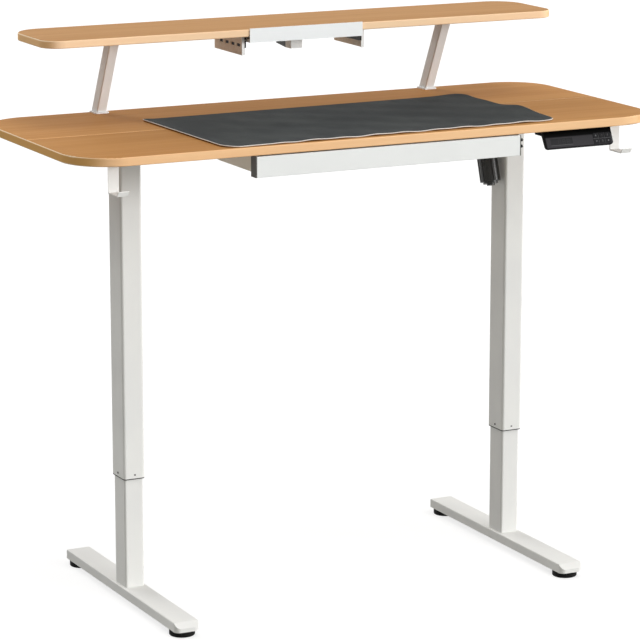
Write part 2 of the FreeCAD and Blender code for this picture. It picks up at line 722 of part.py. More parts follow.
def cross_rail(end):
    """Rectangular tube between the side brackets, in front of or behind the columns."""
    y = ENDS[end] * rail_y
    half = leg_x + BRACKET_WIDTH / 2
    low = bracket_under - RAIL_HEIGHT
    rail = box(-half, half, y - RAIL_DEPTH / 2, y + RAIL_DEPTH / 2, low, bracket_under)
    hollow = box(-half, half, y - RAIL_DEPTH / 2 + RAIL_WALL, y + RAIL_DEPTH / 2 - RAIL_WALL,
                 low + RAIL_WALL, bracket_under - RAIL_WALL)
    holes = [disc(BOLT_RADIUS + HOLE_GAP, RAIL_HEIGHT, Vector(bolt_x, bolt_y, low), UP)
             for bolt_x, bolt_y in rail_bolt_places()]
    return cut_all(rail, [hollow] + holes)


def rail_bolts():
    """Bolts up through the rails into the side brackets."""
    low = bracket_under - RAIL_HEIGHT
    return [screw(Vector(x, y, low), UP, RAIL_HEIGHT + BRACKET_THICK, BOLT_RADIUS,
                  BOLT_HEAD_RADIUS, BOLT_HEAD) for x, y in rail_bolt_places()]


def joint_plate(x):
    """Flat plate across the joint of the two boards."""
    low = top_under - JOINT_PLATE_THICK
    plate = box(x - JOINT_PLATE_WIDTH / 2, x + JOINT_PLATE_WIDTH / 2,
                -JOINT_PLATE_LENGTH / 2, JOINT_PLATE_LENGTH / 2, low, top_under)
    places = [(x + sx * JOINT_PLATE_WIDTH / 4, sy * JOINT_PLATE_LENGTH / 3)
              for sx in (-1, 1) for sy in (-1, 1)]
    return cut_all(plate, fix_from_below(places, low, JOINT_PLATE_THICK))


def joint_plates():
    middle = (JOINT_PLATE_COUNT - 1) / 2
    return [joint_plate((index - middle) * JOINT_PLATE_PITCH) for index in range(JOINT_PLATE_COUNT)]


def control_box():
    """Control unit behind the rear rail, with a mains inlet and two ports in its rear face."""
    y0 = rail_face + CONTROL_RAIL_GAP
    y1 = y0 + CONTROL_DEPTH
    x0 = CONTROL_X - CONTROL_LENGTH / 2
    x1 = CONTROL_X + CONTROL_LENGTH / 2
    low = top_under - CONTROL_HEIGHT
    case = soften(box(x0, x1, y0, y1, low, top_under), CONTROL_EDGE, UP)
    tab_low = top_under - JOINT_PLATE_THICK
    tabs = box(x0 - CONTROL_TAB, x1 + CONTROL_TAB, y0, y1, tab_low, top_under)
    places = [(x, (y0 + y1) / 2) for x in (x0 - CONTROL_TAB / 2, x1 + CONTROL_TAB / 2)]
    holes = fix_from_below(places, tab_low, JOINT_PLATE_THICK)
    mid = (low + top_under) / 2
    for index, width in ((-1, INLET_WIDTH), (0, PORT_WIDTH), (1, PORT_WIDTH)):
        x = CONTROL_X + index * INLET_PITCH
        holes.append(box(x - width / 2, x + width / 2, y1 - INLET_DEPTH, y1,
                         mid - INLET_HEIGHT / 2, mid + INLET_HEIGHT / 2))
    return cut_all(case.fuse(tabs).removeSplitter(), holes)


# Handset

handset_x = TOP_LENGTH / 2 - HANDSET_INSET - HANDSET_LENGTH
handset_low = top_under - HANDSET_HEIGHT
face_height = HANDSET_HEIGHT / math.cos(math.radians(HANDSET_TILT))
face_place = FreeCAD.Placement(Vector(handset_x, top_front, handset_low),
                               FreeCAD.Rotation(ALONG, 90 - HANDSET_TILT))
key_block_left = HANDSET_LENGTH - KEY_RIGHT - 3 * KEY_LENGTH - 2 * KEY_SPACE


def on_face(x0, x1, y0, y1, z0, z1):
    """Block given on the handset's sloping face: along it, up it, and out of it."""
    block = box(x0, x1, y0, y1, z0, z1)
    block.Placement = face_place
    return block


def key_block(index, gap, low, high):
    """Block of one key's outline, grown by a gap."""
    x = key_block_left + (index % 3) * (KEY_LENGTH + KEY_SPACE)
    y = KEY_LOW + (1 - index // 3) * (KEY_HEIGHT + KEY_SPACE)
    return on_face(x - gap, x + KEY_LENGTH + gap, y - gap, y + KEY_HEIGHT + gap, low, high)


def handset_key(index):
    return key_block(index, 0, KEY_PROUD - KEY_THICK, KEY_PROUD)


def window_block(low):
    return on_face(WINDOW_LEFT, WINDOW_LEFT + WINDOW_LENGTH, WINDOW_LOW, WINDOW_LOW + WINDOW_HEIGHT, low, 0)


def handset_case():
    """Thin case under the front edge, its face tipped up to the user, with a flat tail behind."""
    lean = HANDSET_HEIGHT * math.tan(math.radians(HANDSET_TILT))
    neck = top_front + lean * (1 - HANDSET_TAIL / HANDSET_HEIGHT) + HANDSET_THICK
    rear = top_front + HANDSET_DEPTH
    profile = [(top_front + lean, top_under), (top_front, handset_low),
               (top_front + 2 * HANDSET_TAB_THICK, handset_low - HANDSET_TAB_THICK),
               (neck, top_under - HANDSET_TAIL), (rear, top_under - HANDSET_TAIL), (rear, top_under)]
    case = prism_along_x(profile, handset_x, handset_x + HANDSET_LENGTH)
    outline = box(0, HANDSET_LENGTH, 0, 2 * face_height, -HANDSET_DEPTH, TOUCH)
    outline = outline.makeFillet(HANDSET_CORNER, [edge for edge in outline.Edges
                                                  if runs_along(edge, UP) and edge.CenterOfMass.y < TOUCH])
    outline.Placement = face_place
    case = case.common(outline)
    tab_low = top_under - HANDSET_TAB_THICK
    tab_front = top_front + lean
    tab = box(handset_x - HANDSET_TAB_LENGTH, handset_x, tab_front, tab_front + HANDSET_TAB_DEPTH,
              tab_low, top_under)
    rear_tab = box(handset_x, handset_x + HANDSET_LENGTH, rear, rear + HANDSET_TAB_LENGTH / 2,
                   tab_low, top_under)
    case = case.fuse(tab).fuse(rear_tab).removeSplitter()
    places = [(handset_x - HANDSET_TAB_LENGTH / 2, tab_front + HANDSET_TAB_DEPTH / 2)]
    for share in (0.25, 0.75):
        places.append((handset_x + HANDSET_LENGTH * share, rear + HANDSET_TAB_LENGTH / 4))
    holes = fix_from_below(places, tab_low, HANDSET_TAB_THICK)
    holes.append(window_block(-WINDOW_THICK))
    for index in range(6):
        holes.append(key_block(index, KEY_GAP, KEY_PROUD - KEY_THICK - KEY_TRAVEL - KEY_GAP, KEY_PROUD))
    return cut_all(case, holes)


# Hooks

def hook(side):
    """Bent steel strip: a flange under the desktop, a drop, a forward arm and a flared lip."""
    x = SIDES[side] * (TOP_LENGTH / 2 - HOOK_INSET)
    y = top_front + HOOK_SETBACK
    x0 = x - HOOK_WIDTH / 2
    x1 = x + HOOK_WIDTH / 2
    low = top_under - HOOK_DROP
    front = y - HOOK_REACH
    flange = box(x0, x1, y, y + HOOK_FLANGE, top_under - HOOK_THICK, top_under)
    drop = box(x0, x1, y, y + HOOK_THICK, low, top_under)
    arm = box(x0, x1, front, y + HOOK_THICK, low, low + HOOK_THICK)
    lip = box(x0, x1, front, front + HOOK_THICK, low, low + HOOK_LIP)
    lip.rotate(Vector(x, front, low), ALONG, HOOK_FLARE)
    strip = flange.multiFuse([drop, arm, lip]).removeSplitter()
    strip = soften(strip, HOOK_BEND, ALONG, low - TOUCH, low + HOOK_THICK + TOUCH)
    places = [(x, y + HOOK_FLANGE * share) for share in (0.4, 0.75)]
    return cut_all(strip, fix_from_below(places, top_under - HOOK_THICK, HOOK_THICK))


# Drawer

drawer_right = handset_x - HANDSET_TAB_LENGTH - DRAWER_HANDSET_GAP
drawer_left = drawer_right - DRAWER_WIDTH
front_top = top_under - DRAWER_TOP_GAP
front_low = front_top - DRAWER_FRONT_HEIGHT
front_back = top_front + DRAWER_FRONT_DEPTH
runner_low = top_under - RUNNER_HEIGHT
runner_edge = {"left": drawer_left + RUNNER_INSET, "right": drawer_right - RUNNER_INSET}
lip_top = runner_low + RUNNER_THICK
tray_flange_low = lip_top + RUNNER_GLIDE + RUNNER_GAP
tray_low = front_low + TRAY_FLOOR_RISE
runner_front = front_back + TRAY_SIDE_GAP
runner_back = -rail_face - RUNNER_RAIL_GAP
tray_back = -rail_face - TRAY_RAIL_GAP


def span(a, b):
    return min(a, b), max(a, b)


def drawer_front():
    """Hollow aluminium profile that fronts the drawer."""
    x0 = drawer_left + DRAWER_CAP
    x1 = drawer_right - DRAWER_CAP
    wall = DRAWER_FRONT_WALL
    profile = soften(box(x0, x1, top_front, front_back, front_low, front_top), DRAWER_FRONT_EDGE, ALONG)
    hollow = box(x0, x1, top_front + wall, front_back - wall, front_low + wall, front_top - wall)
    return profile.cut(hollow)


def drawer_cap(side):
    """Plastic cap on one end of the drawer's front."""
    edge = {"left": drawer_left, "right": drawer_right}[side]
    x0, x1 = span(edge, edge - SIDES[side] * DRAWER_CAP)
    return soften(box(x0, x1, top_front, front_back, front_low, front_top), DRAWER_FRONT_EDGE, ALONG)


def drawer_runner(side):
    """Folded side plate screwed under the desktop, with a lip that carries the drawer."""
    edge = runner_edge[side]
    inward = -SIDES[side]
    x0, x1 = span(edge, edge + inward * RUNNER_THICK)
    web = box(x0, x1, runner_front, runner_back, runner_low, top_under)
    x0, x1 = span(edge, edge + inward * (RUNNER_THICK + RUNNER_FLANGE))
    flange_low = top_under - RUNNER_THICK
    flange = box(x0, x1, runner_front, runner_back, flange_low, top_under)
    x0, x1 = span(edge, edge + inward * (RUNNER_THICK + RUNNER_LIP))
    lip = box(x0, x1, runner_front, runner_back, runner_low, lip_top)
    x = edge + inward * (RUNNER_THICK + RUNNER_FLANGE / 2)
    places = [(x, runner_front + (runner_back - runner_front) * share) for share in (0.1, 0.5, 0.9)]
    return cut_all(web.multiFuse([flange, lip]).removeSplitter(),
                   fix_from_below(places, flange_low, RUNNER_THICK))


def runner_glide(side):
    """Plastic strip on the runner's lip, on which the drawer slides."""
    edge = runner_edge[side] - SIDES[side] * RUNNER_THICK
    x0, x1 = span(edge, edge - SIDES[side] * RUNNER_LIP)
    return box(x0, x1, runner_front, runner_back, lip_top, lip_top + RUNNER_GLIDE)


def tray_side(side):
    """Outer face of the drawer's side wall, clear of the runner's lip."""
    return runner_edge[side] - SIDES[side] * (RUNNER_THICK + RUNNER_LIP + TRAY_SIDE_GAP)


def drawer_tray():
    """Sheet-steel drawer with a flange along each side that rides on the runner's glide."""
    x0 = tray_side("left")
    x1 = tray_side("right")
    high = tray_low + TRAY_WALL_HEIGHT
    tray = box(x0, x1, front_back, tray_back, tray_low, high)
    hollow = box(x0 + TRAY_SHEET, x1 - TRAY_SHEET, front_back + TRAY_SHEET, tray_back - TRAY_SHEET,
                 tray_low + TRAY_SHEET, high)
    tray = tray.cut(hollow)
    for side in SIDES:
        a, b = span(tray_side(side), tray_side(side) + SIDES[side] * TRAY_FLANGE)
        tray = tray.fuse(box(a, b, front_back + 2 * TRAY_SIDE_GAP, tray_back,
                             tray_flange_low, tray_flange_low + TRAY_SHEET))
    return tray.removeSplitter()


# Shelf, posts and the shelf's tray

def post_y(z):
    """Front face of a post at a height."""
    return post_front - (z - TOP_HEIGHT) * math.tan(math.radians(POST_LEAN))


def post_bolt_places():
    y = post_front + POST_DEPTH / 2
    return [(SIDES[side] * post_x, y + step * POST_DEPTH / 4) for side in SIDES for step in (-1, 1)]


def shelf_post(side):
    """Leaning tube with a plate welded to each end."""
    x = SIDES[side] * post_x
    z0 = TOP_HEIGHT + POST_PLATE_THICK
    z1 = shelf_under - POST_PLATE_THICK
    thick_y = POST_WALL / math.cos(math.radians(POST_LEAN))

    def leaning(inset_x, inset_y):
        profile = [(post_y(z0) + inset_y, z0), (post_y(z0) + POST_DEPTH - inset_y, z0),
                   (post_y(z1) + POST_DEPTH - inset_y, z1), (post_y(z1) + inset_y, z1)]
        return prism_along_x(profile, x - POST_WIDTH / 2 + inset_x, x + POST_WIDTH / 2 - inset_x)

    lean_way = Vector(0, post_y(z1) - post_y(z0), z1 - z0)
    lean_way.normalize()
    tube = soften(leaning(0, 0), POST_EDGE, lean_way).cut(leaning(POST_WALL, thick_y))
    foot_y = post_front - POST_PLATE_LEAD
    half = POST_PLATE_WIDTH / 2
    foot = box(x - half, x + half, foot_y, foot_y + POST_PLATE_DEPTH, TOP_HEIGHT, z0)
    foot = soften(foot, POST_PLATE_CORNER, UP)
    head_front = post_y(z1) - POST_HEAD_LEAD
    head_back = post_y(z1) + POST_DEPTH + POST_HEAD_LEAD
    head = soften(box(x - half, x + half, head_front, head_back, z1, shelf_under), POST_PLATE_CORNER, UP)
    places = [(x, head_front + POST_HEAD_LEAD / 2), (x, head_back - POST_HEAD_LEAD / 2)]
    holes = fix_from_below(places, z1, POST_PLATE_THICK)
    for bolt_x, bolt_y in post_bolt_places():
        holes.append(disc(BOLT_RADIUS, POST_PLATE_THICK, Vector(bolt_x, bolt_y, TOP_HEIGHT), UP))
    return cut_all(tube.multiFuse([foot, head]).removeSplitter(), holes)


def post_bolts():
    """Bolts from under the desktop into the feet of the posts."""
    return [screw(Vector(x, y, top_under), UP, TOP_THICK + POST_PLATE_THICK, BOLT_RADIUS,
                  BOLT_HEAD_RADIUS, BOLT_HEAD) for x, y in post_bolt_places()]


panel_back = shelf_front - PANEL_GAP
panel_low = shelf_under - PANEL_UNDER
tray_half = PANEL_WIDTH / 2 - PANEL_GAP
slide_inner = tray_half + SLIDE_TRAY_GAP
hanger_inner = slide_inner + SLIDE_THICK
hanger_front = shelf_front + HANGER_SETBACK
slot_z = panel_low + PANEL_TRAY_WALL / 2
slide_low = slot_z + SLIDE_RISE - SLIDE_HEIGHT


def panel():
    """Sheet front of the shelf's tray, covering the shelf's edge."""
    return box(-PANEL_WIDTH / 2, PANEL_WIDTH / 2, panel_back - PANEL_THICK, panel_back,
               panel_low, shelf_top + PANEL_OVER)


def shelf_tray():
    """Shallow sheet tray behind the panel, with a lip along each side that runs in a slide."""
    y1 = panel_back + PANEL_TRAY_DEPTH
    high = panel_low + PANEL_TRAY_WALL
    tray = box(-tray_half, tray_half, panel_back, y1, panel_low, high)
    hollow = box(-tray_half + TRAY_SHEET, tray_half - TRAY_SHEET, panel_back + TRAY_SHEET,
                 y1 - TRAY_SHEET, panel_low + TRAY_SHEET, high)
    tray = tray.cut(hollow)
    lip_half = slide_inner + SLIDE_SLOT_DEPTH - SLIDE_TRAY_GAP / 2
    for side in SIDES.values():
        a, b = span(side * tray_half, side * lip_half)
        tray = tray.fuse(box(a, b, hanger_front + SLIDE_TRAY_GAP, y1,
                             slot_z - TRAY_SHEET / 2, slot_z + TRAY_SHEET / 2))
    return tray.removeSplitter()


def tray_slide(side):
    """Slotted slide between a hanger and the tray."""
    a, b = span(SIDES[side] * slide_inner, SIDES[side] * hanger_inner)
    y0 = hanger_front + HANGER_THICK
    slide = box(a, b, y0, y0 + SLIDE_LENGTH, slide_low, slide_low + SLIDE_HEIGHT)
    a, b = span(SIDES[side] * slide_inner, SIDES[side] * (slide_inner + SLIDE_SLOT_DEPTH))
    return slide.cut(box(a, b, y0, y0 + SLIDE_LENGTH, slot_z - SLIDE_SLOT / 2, slot_z + SLIDE_SLOT / 2))


def tray_hanger(side):
    """Folded plate under the shelf that carries one slide, with slots in its web and a folded front."""
    sign = SIDES[side]
    y1 = hanger_front + HANGER_LENGTH
    low = shelf_under - HANGER_DROP
    a, b = span(sign * hanger_inner, sign * (hanger_inner + HANGER_THICK))
    web = box(a, b, hanger_front, y1, low, shelf_under)
    c, d = span(sign * hanger_inner, sign * (hanger_inner + HANGER_THICK + HANGER_FLANGE))
    flange_low = shelf_under - HANGER_THICK
    flange = box(c, d, hanger_front, y1, flange_low, shelf_under)
    c, d = span(sign * (hanger_inner + HANGER_THICK - HANGER_NOSE), sign * (hanger_inner + HANGER_THICK))
    nose = box(c, d, hanger_front, hanger_front + HANGER_THICK, low, slide_low)
    c, d = span(sign * (slide_inner + SLIDE_SLOT_DEPTH), sign * (hanger_inner + HANGER_THICK))
    brow = box(c, d, hanger_front, hanger_front + HANGER_THICK, slide_low, shelf_under)
    slots = []
    slot_low = slide_low + HANGER_THICK
    for index in range(HANGER_SLOT_COUNT):
        y = hanger_front + HANGER_SLOT_START + index * HANGER_SLOT_PITCH
        slots.append(box(a, b, y, y + HANGER_SLOT_LENGTH, slot_low, slot_low + HANGER_SLOT_HEIGHT))
    x = sign * (hanger_inner + HANGER_THICK + HANGER_FLANGE / 2)
    places = [(x, hanger_front + HANGER_LENGTH * share) for share in (0.2, 0.8)]
    return cut_all(web.multiFuse([flange, nose, brow]).removeSplitter(),
                   slots + fix_from_below(places, flange_low, HANGER_THICK))


def tray_pull():
    """Moulded finger pull under the middle of the tray: a front wall between two long cheeks."""
    y0 = panel_back + PULL_SETBACK
    y1 = y0 + PULL_DEPTH
    z0 = panel_low - PULL_HEIGHT
    roof = panel_low - PULL_WALL
    profile = [(y0, panel_low), (y0, z0), (y0 + PULL_NOSE, z0), (y1, z0 + PULL_RISE), (y1, panel_low)]
    block = prism_along_x(profile, -PULL_WIDTH / 2, PULL_WIDTH / 2)
    inside = PULL_WIDTH / 2 - PULL_WALL
    grip = box(-inside, inside, y0 + PULL_WALL, y1 + PULL_WALL, z0 - PULL_WALL, roof)
    return soften(block, PULL_EDGE, UP).cut(grip)


def desk_mat():
    """Soft mat, flat on the desktop and a little askew."""
    y = top_front + MAT_FRONT_GAP + MAT_DEPTH / 2
    mat = rounded_bar(MAT_OFFSET_X, y, MAT_LENGTH, MAT_DEPTH, TOP_HEIGHT, TOP_HEIGHT + MAT_THICK, MAT_CORNER)
    mat.rotate(Vector(MAT_OFFSET_X, y, TOP_HEIGHT), UP, MAT_TURN)
    return mat


# Every piece by name; a list is a group of like pieces
pieces = {}
for side in SIDES:
    pieces[side + "_foot_beam"] = foot_beam(side)
    pieces[side + "_foot_bolts"] = foot_bolts(side)
    pieces[side + "_lower_tube"] = inner_tube(side)
    pieces[side + "_lift_nut"] = lift_nut(side)
    pieces[side + "_upper_glide"] = upper_glide(side)
    pieces[side + "_upper_tube"] = outer_tube(side)
    pieces[side + "_lead_screw"] = lead_screw(side)
    pieces[side + "_screw_gear"] = screw_gear(side)
    for end in ENDS:
        pieces[side + "_" + end + "_pad"] = levelling_pad(side, end)
pieces["lower_glides"] = [lower_glide(side) for side in SIDES]
pieces["glide_screws"] = glide_screws("left") + glide_screws("right")
pieces["gear_castings"] = [gear_casting(side) for side in SIDES]
pieces["drive_rod"] = hex_rod(rod_end("left"), rod_end("right"))
pieces["rod_gears"] = [rod_gear(side) for side in SIDES]
pieces["worm_wheel"] = worm_wheel()
pieces["motor_worm"] = motor_worm()
pieces["motor_gear_case"] = motor_gear_case()
pieces["motor_can"] = motor_can()
pieces["motor_cover"] = motor_cover()
pieces["side_brackets"] = [side_bracket(side) for side in SIDES]
pieces["cross_rails"] = [cross_rail(end) for end in ENDS]
pieces["frame_bolts"] = rail_bolts() + post_bolts()
pieces["joint_plates"] = joint_plates()
pieces["control_box"] = control_box()
pieces["handset_case"] = handset_case()
pieces["handset_window"] = window_block(-WINDOW_THICK)
for index, name in enumerate(("up", "one", "two", "down", "three", "memory")):
    pieces["key_" + name] = handset_key(index)
pieces["drawer_front"] = drawer_front()
pieces["drawer_end_caps"] = [drawer_cap(side) for side in SIDES]
pieces["drawer_tray"] = drawer_tray()
pieces["drawer_runners"] = [drawer_runner(side) for side in SIDES]
pieces["runner_glides"] = [runner_glide(side) for side in SIDES]
pieces["hooks"] = [hook(side) for side in SIDES]
pieces["shelf_posts"] = [shelf_post(side) for side in SIDES]
pieces["tray_panel"] = panel()
pieces["shelf_tray"] = shelf_tray()
pieces["tray_slides"] = [tray_slide(side) for side in SIDES]
pieces["tray_hangers"] = [tray_hanger(side) for side in SIDES]
pieces["tray_pull"] = tray_pull()
pieces["desk_mat"] = desk_mat()

# The boards come last, because every wood screw has its place by now
bolt_holes = [disc(BOLT_RADIUS + HOLE_GAP, TOP_THICK, Vector(x, y, top_under), UP)
              for x, y in post_bolt_places()]
top_holes = pilot_holes(top_under) + bolt_holes
front_board = board(TOP_LENGTH, top_front, 0, top_under, TOP_HEIGHT, TOP_CORNER, 0)
rear_board = board(TOP_LENGTH, 0, top_rear, top_under, TOP_HEIGHT, 0, TOP_CORNER)
pieces["front_board"] = cut_all(front_board, top_holes)
pieces["rear_board"] = cut_all(rear_board, top_holes)
shelf = board(shelf_length, shelf_front, shelf_rear, shelf_under, shelf_top,
              SHELF_FRONT_CORNER, SHELF_REAR_CORNER)
shelf.translate(Vector(SHELF_SHIFT, 0, 0))
pieces["shelf_board"] = cut_all(shelf, pilot_holes(shelf_under))
pieces["wood_screws"] = wood_screws

os.makedirs("parts", exist_ok=True)
for name, piece in pieces.items():
    shape = Part.Compound(piece) if isinstance(piece, list) else piece
    shape.exportStep("parts/" + name + ".step")
    print(name, len(shape.Solids), "solids", round(shape.Volume / 1000, 1), "cm3", shape.isValid())
print(len(pieces), "nodes")
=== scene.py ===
import bmesh
import bpy
import math
import numpy as np
from mathutils import Matrix, Vector


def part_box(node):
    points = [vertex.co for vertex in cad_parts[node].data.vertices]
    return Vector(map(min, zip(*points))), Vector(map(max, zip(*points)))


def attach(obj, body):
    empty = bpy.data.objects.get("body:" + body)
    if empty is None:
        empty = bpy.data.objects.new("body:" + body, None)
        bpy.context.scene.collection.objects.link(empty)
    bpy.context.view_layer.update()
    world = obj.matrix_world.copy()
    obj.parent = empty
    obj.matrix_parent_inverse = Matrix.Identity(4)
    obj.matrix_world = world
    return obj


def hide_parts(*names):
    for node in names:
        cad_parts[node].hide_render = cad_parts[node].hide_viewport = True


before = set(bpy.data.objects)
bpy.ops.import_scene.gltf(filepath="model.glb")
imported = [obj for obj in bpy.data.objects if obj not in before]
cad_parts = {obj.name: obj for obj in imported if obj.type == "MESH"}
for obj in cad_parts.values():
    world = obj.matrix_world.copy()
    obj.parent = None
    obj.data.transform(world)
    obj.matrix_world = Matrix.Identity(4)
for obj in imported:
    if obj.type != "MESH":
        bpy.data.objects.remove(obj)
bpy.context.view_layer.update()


# Feet: two closed steel beams with chamfered top ends, powder-coated white. Four bolts from
# below hold a column down on each, and a rubber-shod levelling pad screws into either end.

def colour(red, green, blue):
    """A colour written as it shows on a screen, 0 to 255, as the linear values that a shader takes."""
    shares = [value / 255 for value in (red, green, blue)]
    linear = [s / 12.92 if s <= 0.04045 else ((s + 0.055) / 1.055) ** 2.4 for s in shares]
    return (*linear, 1.0)


class Field:
    """A socket in a node tree. Arithmetic on it adds Math nodes, and node() adds any other node."""

    def __init__(self, tree, socket=None):
        self.tree = tree
        self.socket = socket

    def node(self, kind, settings=None, links=None, out=0):
        """A new node of a kind, with its settings, and the values or links of its inputs."""
        made = self.tree.nodes.new(kind)
        for name, value in (settings or {}).items():
            setattr(made, name, value)
        for key, value in (links or {}).items():
            for each in value if isinstance(value, list) else [value]:
                if isinstance(each, Field):
                    self.tree.links.new(each.socket, made.inputs[key])
                else:
                    made.inputs[key].default_value = each
        return Field(self.tree, made.outputs[out] if made.outputs else None)

    def also(self, name):
        """Another output of the node that this socket is on."""
        return Field(self.tree, self.socket.node.outputs[name])

    def maths(self, operation, first, second):
        """A Math node on two sockets or numbers."""
        return self.node("ShaderNodeMath", {"operation": operation}, {0: first, 1: second})

    def __add__(self, other):
        return self.maths("ADD", self, other)

    def __radd__(self, other):
        return self.maths("ADD", other, self)

    def __sub__(self, other):
        return self.maths("SUBTRACT", self, other)

    def __rsub__(self, other):
        return self.maths("SUBTRACT", other, self)

    def __mul__(self, other):
        return self.maths("MULTIPLY", self, other)

    def __rmul__(self, other):
        return self.maths("MULTIPLY", other, self)

    def __abs__(self):
        return self.maths("ABSOLUTE", self, 0.0)

    def place(self):
        """Where a point is on its piece, in metres."""
        return self.node("ShaderNodeTexCoord", out="Object")

    def part(self, axis):
        """One component of a vector."""
        return self.node("ShaderNodeSeparateXYZ", None, {0: self}, axis)

    def noise(self, scale, detail=2.0, roughness=0.5, stretch=(1.0, 1.0, 1.0)):
        """Cloudy pattern from 0 to 1 over a vector, with so many clouds to the metre."""
        spread = self.node("ShaderNodeMapping", None, {"Vector": self, "Scale": stretch})
        return self.node("ShaderNodeTexNoise", None, {
            "Vector": spread, "Scale": scale, "Detail": detail, "Roughness": roughness})

    def ease(self, low, high, to_low=0.0, to_high=1.0):
        """The value between two limits, taken smoothly to another pair of values."""
        return self.node("ShaderNodeMapRange", {"interpolation_type": "SMOOTHSTEP"}, {
            "Value": self, "From Min": low, "From Max": high, "To Min": to_low, "To Max": to_high})

    def blend(self, first, second):
        """The first colour where this is 0, the second where it is 1."""
        return self.node("ShaderNodeMix", {"data_type": "RGBA"}, {0: self, 6: first, 7: second}, 2)

    def relief(self, depth, strength):
        """Bump of a given depth in metres, from this height."""
        return self.node("ShaderNodeBump", None, {"Height": self, "Distance": depth, "Strength": strength})

    def feed(self, socket):
        """Link this into the shader of its material."""
        self.tree.links.new(self.socket, self.tree.nodes["Principled BSDF"].inputs[socket])


def new_finish(name, **constants):
    """A material with plain values on its shader, and a Field to build its pattern from."""
    material = bpy.data.materials.new(name)
    material.use_nodes = True
    shader = material.node_tree.nodes["Principled BSDF"]
    for socket, value in constants.items():
        shader.inputs[socket.replace("_", " ")].default_value = value
    return material, Field(material.node_tree)


def dress(material, *names):
    """Give the finish to CAD nodes."""
    for name in names:
        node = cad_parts[name]
        if not node.material_slots:
            node.data.materials.append(material)
        for place in node.material_slots:
            place.link = "OBJECT"
            place.material = material


def powder_coat(name, tone, shade, rough, peel):
    """Baked powder coating: even colour, faint orange peel, and a slightly duller film in places."""
    material, field = new_finish(name, Specular_IOR_Level=0.25)
    place = field.place()
    cloud = place.noise(9.0, 3.0)
    cloud.ease(0.3, 0.7).blend(tone, shade).feed("Base Color")
    cloud.ease(0.2, 0.8, rough - 0.04, rough + 0.05).feed("Roughness")
    place.noise(peel, 2.0).relief(0.00012, 0.35).feed("Normal")
    return material


white_coat = powder_coat("white_powder_coat", colour(241, 241, 238), colour(237, 237, 235),
                         rough=0.46, peel=700.0)
dress(white_coat, "left_foot_beam", "right_foot_beam")


def moulded(name, tone, shade, rough, grain, depth, shine=0.3):
    """Injection-moulded plastic with a fine spark-eroded grain."""
    material, field = new_finish(name, Specular_IOR_Level=shine)
    place = field.place()
    speck = place.noise(grain, 3.0, 0.6)
    speck.ease(0.3, 0.75).blend(tone, shade).feed("Base Color")
    place.noise(14.0).ease(0.2, 0.8, rough - 0.05, rough + 0.06).feed("Roughness")
    speck.relief(depth, 0.5).feed("Normal")
    return material


pad_rubber = moulded("pad_rubber", colour(16, 16, 16), colour(22, 22, 22),
                     rough=0.66, grain=900.0, depth=0.0001, shine=0.1)
dress(pad_rubber, "left_front_pad", "left_rear_pad", "right_front_pad", "right_rear_pad")


def plated(name, tone, stain, rough, patches):
    """Bare or plated metal, a little uneven in colour and polish."""
    material, field = new_finish(name, Metallic=1.0)
    patch = field.place().noise(patches, 4.0, 0.6)
    patch.ease(0.25, 0.75).blend(tone, stain).feed("Base Color")
    patch.ease(0.2, 0.8, rough - 0.08, rough + 0.1).feed("Roughness")
    patch.relief(0.00005, 0.3).feed("Normal")
    return material


zinc = plated("zinc_plate", colour(196, 197, 194), colour(171, 172, 168), rough=0.36, patches=160.0)

# A fastener's head narrows in steps, each with its share of the height and of the outline below.
# Its recess has its widths as shares of the head's radius, and its depth as a share of the height.
ROD_SIDES = 24
HEAD_STEPS = ((0.5, 1.0), (0.3, 0.94), (0.2, 0.82))
SOCKET_RADIUS, SOCKET_DEPTH = 0.48, 1.2
CROSS_SPAN, CROSS_SLIT, CROSS_DEPTH = 1.15, 0.24, 1.1
TURN_SEED = 7


